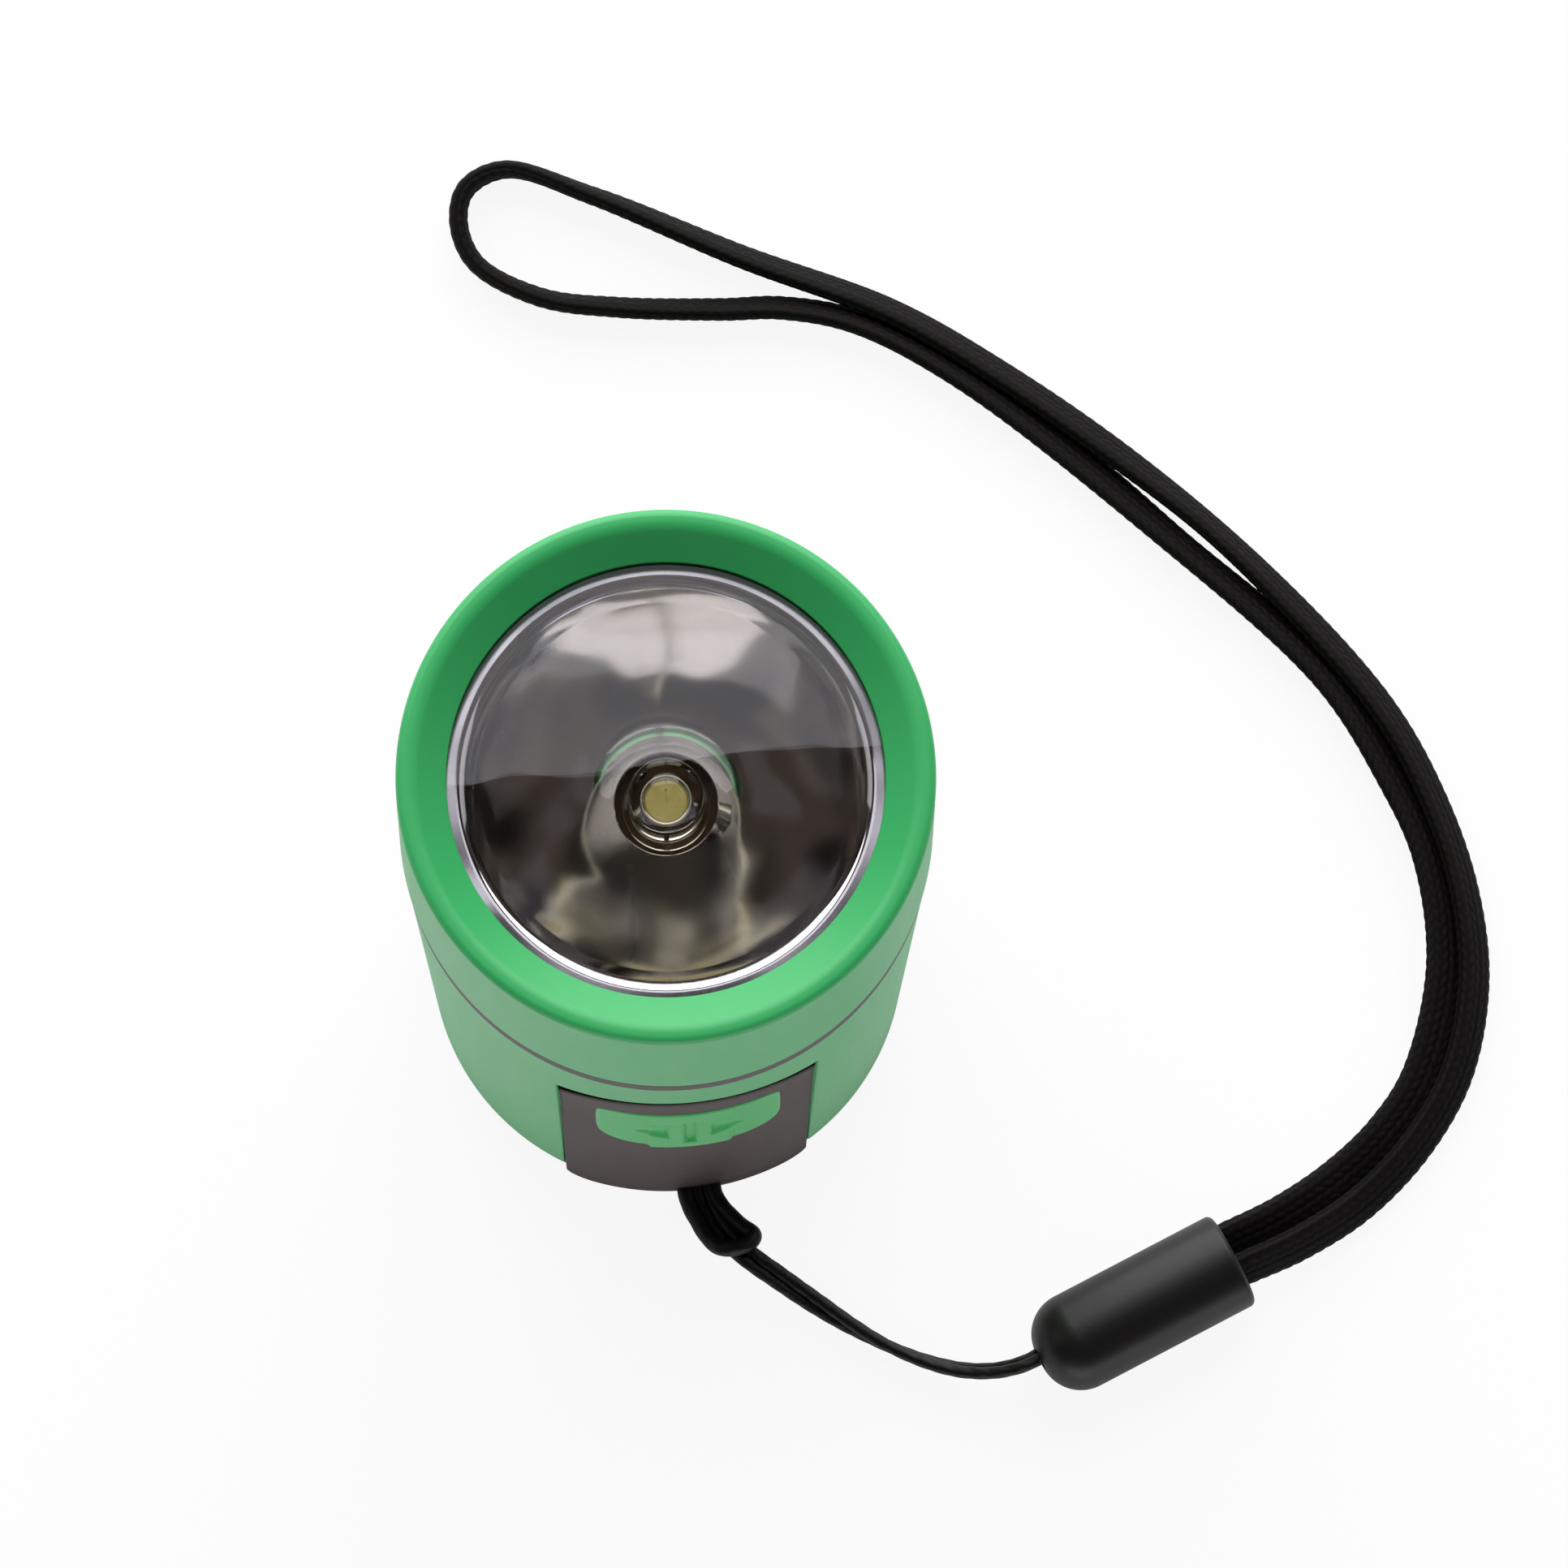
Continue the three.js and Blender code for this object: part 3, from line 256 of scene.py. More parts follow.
strand_line = smooth_line(cord_route, strand_step)
left = line_frame(strand_line)[1]
share = np.linspace(0, 1, len(strand_line))
twist = np.radians(eased_table(share, twist_shares, twist_degrees, twist_ease))[:, None]
straight_up = np.array([0, 0, 1.0])
offset = np.cos(twist) * left + np.sin(twist) * straight_up
for name, side in (("a", 1), ("b", -1)):
    path = strand_line + side * strand_pitch_radius * offset
    points, uv = yarn_tube(path, strand_radius, strand_sides, side)
    strand = piece(
        f"cord_strand_{name}", points, tube_faces(len(path), strand_sides), nylon_cord, "torch",
        [f"strap_strand_{name}"], uv,
    )


# Hitch: the cord's bight comes out of the notch on both sides of the two strands and turns over them, which
# makes a lark's head. It is one hairpin of the same twisted cord, pulled tight.
bight_route = [
    (-0.3, -16.9, 1.3), (-0.15, -18.3, 1.5), (0.55, -20.1, 1.8), (1.15, -21.25, 2.15), (1.9, -22.0, 2.6),
    (2.9, -22.15, 2.95), (3.9, -21.95, 2.95), (4.4, -21.35, 2.65), (3.65, -20.6, 2.2), (2.7, -19.5, 1.8),
    (1.95, -18.3, 1.5), (1.65, -16.9, 1.3),
]
bight_radius = 0.65
bight_step = 0.1

bight_line = smooth_line(bight_route, bight_step)
points, uv = yarn_tube(bight_line, bight_radius, strand_sides, 1)
collar = piece(
    "cord_hitch", points, tube_faces(len(bight_line), strand_sides), nylon_cord, "torch",
    ["strap_collar"], uv,
)


# Bead: a turned sleeve of black satin plastic that gathers the thin cord at its round nose and both ends
# of the braid at its square end. It slides on the cord.
def arc_outline(corners, radii, steps=8):
    """An outline through the corners, each cut by an arc of its radius: the arc starts on one side and
    turns by the corner's angle, so it meets both sides without a kink."""
    corners = np.asarray(corners, float)
    before = corners - np.roll(corners, 1, 0)
    after = np.roll(corners, -1, 0) - corners
    coming, going = unit(before), unit(after)
    cosine = np.clip(np.sum(coming * going, 1), -1, 1)
    angle = np.arccos(cosine)
    room = 0.49 * np.minimum(np.linalg.norm(before, axis=1), np.linalg.norm(after, axis=1))
    radius = np.minimum(np.broadcast_to(radii, len(corners)), room / np.tan(angle / 2))
    inward = unit(going - cosine[:, None] * coming)
    turned = angle[:, None] * np.linspace(0, 1, steps)
    start = corners - (radius * np.tan(angle / 2))[:, None] * coming
    arc = np.sin(turned)[..., None] * coming[:, None] + (1 - np.cos(turned))[..., None] * inward[:, None]
    return (start[:, None] + radius[:, None, None] * arc).reshape(-1, 2)


def about_axis(radius, angle, height):
    """Points about Z: x and y are the radius times the cosine and the sine of the angle."""
    return np.stack(np.broadcast_arrays(radius * np.cos(angle), radius * np.sin(angle), height), -1)


def turned_shell(outline, sides=192):
    """A closed outline of radius and height, turned about Z, as points of outline by turn, and faces."""
    angle = np.linspace(0, 2 * np.pi, sides, endpoint=False)
    points = about_axis(outline[:, :1], angle, outline[:, 1:])
    return points, grid_faces(len(outline), sides, True, True)


def weighted(made):
    """Gives a piece normals weighted by the areas of its faces, so that flats look flat."""
    made.modifiers.new("normals", "WEIGHTED_NORMAL").keep_sharp = True
    return made


def moulded(name, colour, shade, roughness, grain, relief, ior=1.53):
    """Moulded plastic: a fine spark-eroded grain in millimetres, a faint change of tone over centimetres
    and hairline handling marks that change the roughness."""
    tone_size, mark_width, mark_stretch, mark_dulling = 14, 1.6, 0.12, 0.015
    material, tree, shader = new_material(name, IOR=ior, Roughness=roughness)
    place = add(tree, "ShaderNodeTexCoord").outputs["Object"]
    flow = add(tree, "ShaderNodeTexNoise", {
        "Vector": place, "Scale": 1 / (tone_size * mm), "Detail": 2,
    }).outputs["Fac"]
    tone = add(tree, "ShaderNodeValToRGB", {"Fac": flow})
    tone.color_ramp.elements[0].position = 0.3
    tone.color_ramp.elements[0].color = linear(shade)
    tone.color_ramp.elements[1].position = 0.7
    tone.color_ramp.elements[1].color = linear(colour)
    tree.links.new(tone.outputs["Color"], shader.inputs["Base Color"])
    marks = add(tree, "ShaderNodeMapping", {"Vector": place, "Scale": (1, 1, mark_stretch)}).outputs["Vector"]
    rubbed = add(tree, "ShaderNodeTexNoise", {
        "Vector": marks, "Scale": 1 / (mark_width * mm), "Detail": 4,
    }).outputs["Fac"]
    gloss = add(tree, "ShaderNodeMapRange", {
        "Value": rubbed, "From Min": 0.3, "From Max": 0.7,
        "To Min": roughness - mark_dulling, "To Max": roughness + mark_dulling,
    }).outputs["Result"]
    tree.links.new(gloss, shader.inputs["Roughness"])
    skin = add(tree, "ShaderNodeTexNoise", {
        "Vector": place, "Scale": 1 / (grain * mm), "Detail": 2,
    }).outputs["Fac"]
    bump = add(tree, "ShaderNodeBump", {"Height": skin, "Distance": relief * mm, "Strength": 1})
    tree.links.new(bump.outputs["Normal"], shader.inputs["Normal"])
    return material


bead_tail = np.array([39.5, -26.5, 3.7])
bead_direction = np.array([-0.925, -0.38, 0])
bead_radius = 3.7
bead_length = 16.15
bead_rim_round = 0.7
bead_nose_round = 3.1
bead_nose_turn = 81  # degrees of the nose's quarter-round, up to the cord's hole
bead_hole = 0.95  # radius of the cord's hole
bead_hole_flare = 0.02
bead_hole_ease = 0.12
bead_hole_depth = 1.5
bead_mouth = 2.75  # radius of the recess that takes the braid
bead_mouth_round = 0.3
bead_mouth_depth = 2.4
bead_floor_round = 0.2
near_axis = 0.02  # a turned outline ends this near its axis, and its closing side shuts the pole
corner_steps = 8
bead_sides = 128

# Plastic turned and then tumbled, so it has a satin skin: one broad, soft highlight runs along it
satin_black = moulded("satin_black_plastic", "#131011", "#100E0E", 0.42, 0.35, 0.006, 1.46)
nose_centre = np.array([bead_radius - bead_nose_round, bead_length - bead_nose_round])
nose_turn = np.radians(np.linspace(0, bead_nose_turn, 30))[:, None]
hole_floor = bead_length - bead_hole_depth
mouth_side = arc_outline(
    [(near_axis, bead_mouth_depth), (bead_mouth, bead_mouth_depth), (bead_mouth, 0), (bead_radius, 0),
     (bead_radius, nose_centre[1])],
    [near_axis, bead_floor_round, bead_mouth_round, bead_rim_round, near_axis], corner_steps,
)
bead_outline = np.concatenate([
    mouth_side[:-corner_steps],  # the last corner only steers the side before it
    nose_centre + bead_nose_round * np.concatenate([np.cos(nose_turn), np.sin(nose_turn)], 1),
    [(bead_hole + bead_hole_flare, bead_length - bead_hole_ease), (bead_hole, hole_floor),
     (near_axis, hole_floor)],
])
points, faces = turned_shell(bead_outline, bead_sides)
bead_along = unit(bead_direction)
bead_left = np.array([-bead_along[1], bead_along[0], 0])
points = (
    bead_tail + points[..., 2:] * bead_along + points[..., :1] * bead_left + points[..., 1:2] * straight_up
)
bead = weighted(piece(
    "strap_slider_bead", points, faces, satin_black, "torch", ["strap_bead"],
))


# Braid of the wrist strap: a flat tubular braid of black polyester, 3 mm wide, one length from the bead
# round the wearer's wrist and back. It lies on its edge round the loop's tip and leans where its two legs
# run side by side.
band_route = [
    (38.4, -28.0, 3.6), (40.25, -27.3, 3.5), (44.6, -25.8, 2.7), (49.6, -23.2, 1.7), (54.2, -19.2, 1.65),
    (57.7, -14.1, 1.65), (59.6, -7.3, 1.65), (59.5, -0.3, 1.65), (57.8, 6.9, 1.65), (54.7, 14.0, 1.65),
    (46.6, 25.1, 1.65), (37.9, 34.3, 1.65), (28.9, 41.9, 1.65), (21.0, 47.4, 1.65), (10.2, 52.4, 1.65),
    (-0.3, 57.9, 1.65), (-6.7, 60.5, 1.65), (-9.7, 59.3, 1.65), (-10.5, 56.8, 1.65), (-9.5, 53.6, 1.65),
    (-5.0, 50.55, 1.65), (0.7, 49.1, 1.65), (8.5, 48.0, 1.65), (13.0, 47.6, 1.65), (18.3, 46.0, 1.65),
    (25.8, 41.0, 1.65), (39.4, 28.1, 1.65), (50.7, 16.1, 1.65), (54.8, 8.4, 1.65), (57.0, 2.2, 1.65),
    (57.3, -6.0, 1.65), (54.7, -13.9, 1.65), (51.6, -17.8, 1.65), (47.8, -20.8, 1.7), (43.4, -23.3, 2.7),
    (39.3, -24.95, 3.5), (37.5, -25.6, 3.6),
]
band_width = 3.0
band_thickness = 1.3
stitch_length = 0.9
braid_columns = 12  # right round the braid, in pairs that slant against each other
stitch_relief = 0.09
stitch_slant = 0.7
flatness = 0.62  # below 1 squares the section's ends
section_steps = 64
braid_step = 0.17
lean_ease = 120  # steps of the line over which its lean is smoothed
# Lean of the braid from flat, in degrees, at shares of its length
lean_shares = [
    0, 0.03, 0.1, 0.16, 0.24, 0.27, 0.3, 0.34, 0.42, 0.47, 0.5, 0.53,
    0.58, 0.65, 0.69, 0.72, 0.75, 0.78, 0.84, 0.92, 0.96, 0.975, 0.99, 1,
]
lean_degrees = [
    52, 42, 43, 52, 50, 62, 48, 52, 58, 72, 90, 106,
    116, 126, 136, 142, 124, 140, 137, 160, 158, 152, 140, 140,
]
# How far each leg leans on the other, sideways from the measured line
nestle_shares = [
    0, 0.03, 0.06, 0.1, 0.14, 0.2, 0.25, 0.27, 0.3, 0.35, 0.38, 0.4,
    0.42, 0.55, 0.6, 0.67, 0.72, 0.75, 0.78, 0.84, 0.9, 0.94, 0.97, 1,
]
nestle_widths = [
    0, 0.15, 0.2, 0.12, 0, 0, 0.15, 0.1, 0.4, 0.25, 0.2, 0.2,
    0, 0, 0.4, 0.7, 0.85, 0.55, 0.6, 0.22, 0.16, 0.27, 0.22, 0,
]

band_line = smooth_line(band_route, braid_step)
run = np.linspace(0, line_length(band_line), len(band_line))
share = run / run[-1]
lean = np.radians(eased_table(share, lean_shares, lean_degrees, lean_ease))[:, None]
nestle = eased_table(share, nestle_shares, nestle_widths, lean_ease)[:, None]
along, left, up = line_frame(band_line)
band_line = band_line + nestle * left
wide = np.cos(lean) * left + np.sin(lean) * up
thick = np.cross(along, wide)

# The braid's section is a superellipse, cut into equal steps of its length. The relief of a column of
# stitches is the root of a sine across it times the root of a sine along it, and is greatest at 0
turning = np.linspace(0, 2 * np.pi, 720, endpoint=False)
half_size = np.array([band_width, band_thickness]) / 2
circle = np.stack([np.cos(turning), np.sin(turning)], 1)
outline = evened(np.sign(circle) * np.abs(circle) ** flatness * half_size, section_steps, closed=True)
side, rise = outline.T
section_normal = unit(outline / half_size**2)
column = np.arange(section_steps) / section_steps * braid_columns
slant = np.where(np.floor(column) % 2 == 0, 1, -1)
stitch = run[:, None] / stitch_length + slant * (column % 1 - 0.5) * stitch_slant
stitch = stitch + 0.25 * (1 - slant)  # every second column starts half a stitch later
relief = np.abs(np.sin(np.pi * stitch)) ** 0.5 * np.abs(np.sin(np.pi * column)) ** 0.5 - 1
section = (
    (side + relief * stitch_relief * section_normal[:, 0])[..., None] * wide[:, None]
    + (rise + relief * stitch_relief * section_normal[:, 1])[..., None] * thick[:, None]
)
points = band_line[:, None] + section

# Braided polyester: each stitch is a bundle of fine filaments. Its colour is painted faintly bright on top of
# each stitch and dark in the gaps, painted shade for the light the gaps trap, so the whole is darker than
# smooth plastic of the same dye
braid = dyed_fibre(
    "braided_polyester", 0.6, 0.12, (3, 22, 1), ("#030202", "#130E0E"), 0.04, 0.7, "stitch_height",
)

uv = np.stack([stitch, np.broadcast_to(column, stitch.shape)], -1).reshape(-1, 2)
faces = tube_faces(len(band_line), section_steps)
band = piece("strap_braid", points, faces, braid, "torch", ["strap_band"], uv)


def point_value(made, name, values):
    """Gives each point of a piece a value, which its material reads by this name."""
    layer = made.data.attributes.new(name, "FLOAT", "POINT")
    layer.data.foreach_set("value", np.asarray(values, np.float32).ravel())


point_value(band, "stitch_height", relief + 1)


# Sleeve: a pale green ABS tube, pushed up over the grey core to the seam. A slot with an arched top is
# moulded out of its front for the switch panel.
def box_mm(node):
    """The lowest and highest corner of a CAD node, in millimetres."""
    low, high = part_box(node)
    return np.array(low) / mm, np.array(high) / mm


sleeve_low, sleeve_high = box_mm("body_sleeve")
sleeve_top_radius = sleeve_high[0]
sleeve_taper = 0.45
sleeve_wall = 1.35
slot_half_width = 9.05
slot_top = 64.4
slot_arch_radius = 13.1
edge_round = 0.18

# Moulded ABS in a pale green, with a fine matt grain: no clear highlight, and a grey haze at low angles
green_abs = moulded("green_abs", "#30AC5F", "#2FAA5D", 0.42, 0.3, 0.004)


def sleeve_radius(height):
    """The sleeve's outer radius: straight from its top to a smaller tail."""
    share = (height - sleeve_low[2]) / (sleeve_high[2] - sleeve_low[2])
    return sleeve_top_radius - sleeve_taper * (1 - share)


def arch_height(x, top, radius):
    """The height of the slot's arch: a circle of the radius whose highest point is at the top."""
    return top - radius + np.sqrt(radius**2 - x**2)


# The outer skin in one grid: columns over the slot start at its arch, and the others at the tail. The
# columns beside the slot follow its straight sides, and the rest spread evenly over the back
slot_columns = 48
back_columns = 150
rows = 70
x_slot = np.linspace(-slot_half_width, slot_half_width, slot_columns + 1)
rise_share = np.linspace(0, 1, rows)[:, None]
arch = arch_height(x_slot, slot_top, slot_arch_radius)
slot_z = arch + rise_share * (sleeve_high[2] - arch)
slot_angle = np.arcsin(x_slot / sleeve_radius(slot_z)) - np.pi / 2
over_slot = about_axis(sleeve_radius(slot_z), slot_angle, slot_z)
side_z = arch_height(slot_half_width, slot_top, slot_arch_radius)
low_z = np.linspace(sleeve_low[2], side_z, rows)
back_z = np.concatenate([low_z[:-1], slot_z[:, -1]])[:, None]
back_start = np.arcsin(slot_half_width / sleeve_radius(back_z)) - np.pi / 2
back_share = np.linspace(0, 1, back_columns + 1)
back_angle = back_start + back_share * (2 * (-np.pi / 2 - back_start) + 2 * np.pi)
back = about_axis(sleeve_radius(back_z), back_angle, back_z)
over_faces = grid_faces(rows, slot_columns + 1)
back_faces = grid_faces(2 * rows - 1, back_columns + 1) + over_slot.shape[0] * over_slot.shape[1]


def eased_edges(made, width, steps, angle):
    """Rounds a piece's edges that turn by more than the angle, in degrees, and weights its normals."""
    edge = made.modifiers.new("edge", "BEVEL")
    edge.width = width * mm
    edge.segments = steps
    edge.limit_method = "ANGLE"
    edge.angle_limit = np.radians(angle)
    weighted(made)


def walled(made, thickness, ease):
    """Merges a skin's seams, gives it a wall inwards from its outer face, and eases its edges."""
    shell = bmesh.new()
    shell.from_mesh(made.data)
    same_point = 0.01 * mm
    bmesh.ops.remove_doubles(shell, verts=shell.verts, dist=same_point)
    bmesh.ops.recalc_face_normals(shell, faces=shell.faces)
    shell.to_mesh(made.data)
    shell.free()
    wall = made.modifiers.new("wall", "SOLIDIFY")
    wall.thickness = thickness * mm
    wall.offset = -1
    wall.use_even_offset = True
    eased_edges(made, ease, 3, 40)


sleeve = piece(
    "green_sleeve", np.concatenate([over_slot.reshape(-1, 3), back.reshape(-1, 3)]),
    np.concatenate([over_faces, back_faces]), green_abs, "torch", ["body_sleeve"],
)
walled(sleeve, sleeve_wall, edge_round)


# Core: one grey ABS moulding inside both green shells. It shows as the foot, as the switch panel up the
# front, and as the thin flush band between sleeve and bezel.
core_top = box_mm("core_body")[1][2]
foot_radius = 17.0
foot_height = 4.7
core_radius = 15.7
core_bore = 14.3
band_radius = 17.91
band_low = 73.3
band_high = 75.9
ledge_low = 77.8
ledge_high = 80.2
ledge_opening = 9.0
notch_width = 5.4
notch_height = 2.6
notch_back = 15.0  # how near the axis the notch comes
cut_overrun = 1

# The same ABS in a warm grey, with a coarser grain, which looks drier than the shells
grey_abs = moulded("grey_abs", "#463838", "#443636", 0.6, 0.3, 0.008)
core_outline = arc_outline(
    [
        (core_bore, 0), (foot_radius, 0), (foot_radius, foot_height), (core_radius, foot_height),
        (core_radius, band_low), (band_radius, band_low), (band_radius, band_high), (core_radius, band_high),
        (core_radius, core_top), (core_bore, core_top), (core_bore, ledge_high),
        (ledge_opening, ledge_high), (ledge_opening, ledge_low), (core_bore, ledge_low),
    ],
    [0.4, 0.6, 0.3, 0.3, 0.2, 0.12, 0.12, 0.2, 0.2, 0.2, 0.3, 0.3, 0.3, 0.3], 5,
)
points, faces = turned_shell(core_outline)
core = piece("grey_core", points, faces, grey_abs, "torch", ["core_body"])


def cut_box(made, low, high):
    """Cuts a box out of a piece, from its lowest to its highest corner."""
    corners = np.stack(np.meshgrid(*zip(low, high), indexing="ij"), -1).reshape(-1, 3)
    box_faces = [(0, 1, 3, 2), (4, 6, 7, 5), (0, 4, 5, 1), (2, 3, 7, 6), (0, 2, 6, 4), (1, 5, 7, 3)]
    cutter = piece("cutter", corners, box_faces, made.data.materials[0], "torch")
    cut = made.modifiers.new("cut", "BOOLEAN")
    cut.object = cutter
    cut.solver = "EXACT"
    bpy.context.view_layer.objects.active = made
    bpy.ops.object.modifier_apply(modifier=cut.name)
    bpy.data.objects.remove(cutter)


cut_box(
    core, (-notch_width / 2, -foot_radius - cut_overrun, -cut_overrun),
    (notch_width / 2, -notch_back, notch_height),
)
core.data.set_sharp_from_angle(angle=np.radians(35))
weighted(core)

# The switch panel bulges a little less than the body, so it is nearly flush at its sides and recessed in
# the middle. It runs down over the foot's front, where its lower corners are rounded
panel_side_gap = 0.14
panel_top_gap = 0.1
panel_half_width = slot_half_width - panel_side_gap
panel_curve = 19.5
panel_front = 17.0
panel_rise = 0.45  # the panel comes this much nearer the sleeve's face at its top
panel_rise_start = 50.0
panel_kick = 0.3  # and this much at the foot, from the kick's start down
panel_kick_start = 22.0
panel_top = slot_top - panel_top_gap
panel_corner = 2.1
panel_wall = 1.2
panel_shoulder = 1.5  # the panel turns in under the arch over this height
panel_turn_in = 1.1
panel_edge_round = 0.12
panel_columns = 60
panel_rows = 160
x = np.linspace(-panel_half_width, panel_half_width, panel_columns + 1)
corner_x = np.clip(np.abs(x) - (panel_half_width - panel_corner), 0, None)
low = panel_corner - np.sqrt(panel_corner**2 - corner_x**2)
high = arch_height(x, panel_top, slot_arch_radius)
z = low + np.linspace(0, 1, panel_rows)[:, None] * (high - low)
shoulder = np.clip(1 - (high - z) / panel_shoulder, 0, 1)
front = panel_front + panel_rise * np.clip((z - panel_rise_start) / (panel_top - panel_rise_start), 0, 1)
front = front + panel_kick * np.clip(1 - z / panel_kick_start, 0, 1)
y = panel_curve - front - np.sqrt(panel_curve**2 - x**2) + panel_turn_in * (1 - np.sqrt(1 - shoulder**2))
panel_points = np.stack(np.broadcast_arrays(x, y, z), -1)
panel = piece(
    "switch_panel", panel_points, grid_faces(panel_rows, panel_columns + 1), grey_abs, "torch",
)


def eased_step(distance, width):
    """0 below 0, 1 above the width, and a smooth cubic between them."""
    share = np.clip(distance / width, 0, 1)
    return share**2 * (3 - 2 * share)


def face_towards(made, direction):
    """Turns an open skin's faces so that their mean normal points in the direction."""
    shell = bmesh.new()
    shell.from_mesh(made.data)
    facing = sum(face.normal.dot(direction) for face in shell.faces)
    if facing < 0:
        bmesh.ops.reverse_faces(shell, faces=shell.faces)
    shell.to_mesh(made.data)
    shell.free()


# Painted shade under the arch: the panel's colour is darkened towards near black and its gloss taken away,
# standing in for the shadow of the arch's overhanging edge. It is full down to the shade line, then less by
# an eased step
shade_line = 4.6
shade_fade = 4.0
painted_arch_shade = 1 - eased_step(high - z - shade_line, shade_fade)
point_value(panel, "painted_arch_shade", painted_arch_shade)
panel_plastic = grey_abs.copy()
panel_plastic.name = "grey_abs_painted_arch_shade"
tree = panel_plastic.node_tree
shader = tree.nodes["Principled BSDF"]
in_shade = add(tree, "ShaderNodeAttribute", attribute_name="painted_arch_shade").outputs["Fac"]
tone = shader.inputs["Base Color"].links[0].from_socket
# Painted shade: the panel's tone mixed towards near black under the arch
painted_shade_tone = add(tree, "ShaderNodeMix", {0: in_shade, 6: tone, 7: linear("#0E090A")}, data_type="RGBA")
tree.links.new(painted_shade_tone.outputs[2], shader.inputs["Base Color"])
panel_gloss = 0.26
gloss = add(tree, "ShaderNodeMapRange", {"Value": in_shade, "To Min": panel_gloss, "To Max": 0})
tree.links.new(gloss.outputs["Result"], shader.inputs["Specular IOR Level"])
panel.data.materials[0] = panel_plastic
face_towards(panel, (0, -1, 0))
panel_skin = panel.modifiers.new("wall", "SOLIDIFY")
panel_skin.thickness = panel_wall * mm
panel_skin.offset = -1
eased_edges(panel, panel_edge_round, 3, 30)


# Bezel: a green ABS ring that screws over the core's neck. Its lip has a rounded crown and a wide chamfer
# that runs down to the lens.
bezel_low, bezel_high = box_mm("bezel_ring")
bezel_radius = bezel_high[0]
bezel_lip_radius = 17.62
bezel_crown_radius = 16.5  # the chamfer starts here
window_radius = 14.35
bezel_bore = 16.0
lip_seat = 96.2
lip_land = 0.35  # the window's straight edge, below the chamfer
bezel_outline = arc_outline(
    [
        (bezel_bore, bezel_low[2]), (bezel_radius, bezel_low[2]), (bezel_lip_radius, bezel_high[2]),
        (bezel_crown_radius, bezel_high[2]), (window_radius, lip_seat + lip_land),
        (window_radius, lip_seat), (bezel_bore, lip_seat),
    ],
    [0.2, 0.25, 1.0, 1.25, 0.15, 0.15, 0.2], 16,
)
points, faces = turned_shell(bezel_outline, 256)
weighted(piece("green_bezel", points, faces, green_abs, "torch", ["bezel_ring"]))


# Lens: a flat disc cut from cast acrylic sheet. The bezel's lip presses it onto the reflector's flange.
# Cast sheet is clear and smooth, but never quite flat, so what it mirrors wavers a little.
lens_low, lens_high = box_mm("front_lens")
lens_radius = lens_high[0]
lens_edge_round = 0.2
clear_acrylic, tree, shader = new_material(
    "clear_acrylic", Base_Color=linear("#FAFAFA"), Roughness=0.0, IOR=1.49, Transmission_Weight=1.0,
)
place = add(tree, "ShaderNodeTexCoord").outputs["Object"]
wave_size = 9
wave = add(tree, "ShaderNodeTexNoise", {"Vector": place, "Scale": 1 / (wave_size * mm), "Detail": 1})
bump = add(tree, "ShaderNodeBump", {"Height": wave.outputs["Fac"], "Distance": 0.02 * mm, "Strength": 0.3})
tree.links.new(bump.outputs["Normal"], shader.inputs["Normal"])
lens_outline = arc_outline(
    [(near_axis, lens_low[2]), (lens_radius, lens_low[2]), (lens_radius, lens_high[2]),
     (near_axis, lens_high[2])],
    [near_axis / 2, lens_edge_round, lens_edge_round, near_axis / 2],
)
points, faces = turned_shell(lens_outline, 160)
weighted(piece("clear_lens", points, faces, clear_acrylic, "torch", ["front_lens"]))


# Reflector: a parabolic bowl of ABS, metallised with aluminium in a vacuum, so it mirrors with soft ripples
# where the moulding under the film isn't true.
rim_top = box_mm("reflector")[1][2]
bowl_radius = 13.3
bowl_hole = 3.4
bowl_depth = 9.9
bowl_wall = 1.1
bowl_back_radius = 12.6
flange_thickness = 1.2
flange_under_radius = 13.7
flange_gap = 0.1  # between the bowl's back and the underside of the flange
rim_round = 1.0
flange_round = 0.1
flange_start = bowl_radius + 0.3  # from here out the moulding isn't polished
bowl_spread = (bowl_radius**2 - bowl_hole**2) / bowl_depth


def bowl_height(radius):
    """The height of the bowl above its hole: a parabola through the hole's and the rim's radius."""
    return rim_top - bowl_depth + (radius**2 - bowl_hole**2) / bowl_spread


# The rim's arc takes the place of the first steps of the bowl, so both sides of it start where it ends
rim_cut = 9
rim_steps = 12
inside = np.linspace(bowl_radius, bowl_hole, 90)[rim_cut:]
outside = np.linspace(bowl_back_radius, bowl_hole + bowl_wall, 40)
flange_under = rim_top - flange_thickness
hole_back = bowl_height(bowl_hole) - bowl_wall
rim_and_flange = arc_outline(
    [(inside[0], bowl_height(inside[0])), (bowl_radius, rim_top), (lens_radius, rim_top),
     (lens_radius, flange_under), (flange_under_radius, flange_under)],
    [near_axis / 2, rim_round, flange_round, flange_round, flange_round], rim_steps,
)
bowl_back = np.minimum(bowl_height(outside - bowl_wall), flange_under - flange_gap)
reflector_outline = np.concatenate([
    rim_and_flange[rim_steps:], np.stack([outside, bowl_back], 1),
    [(bowl_hole + bowl_wall, hole_back), (bowl_hole, hole_back)],
    np.stack([inside[::-1], bowl_height(inside[::-1])], 1),
])
points, faces = turned_shell(reflector_outline)

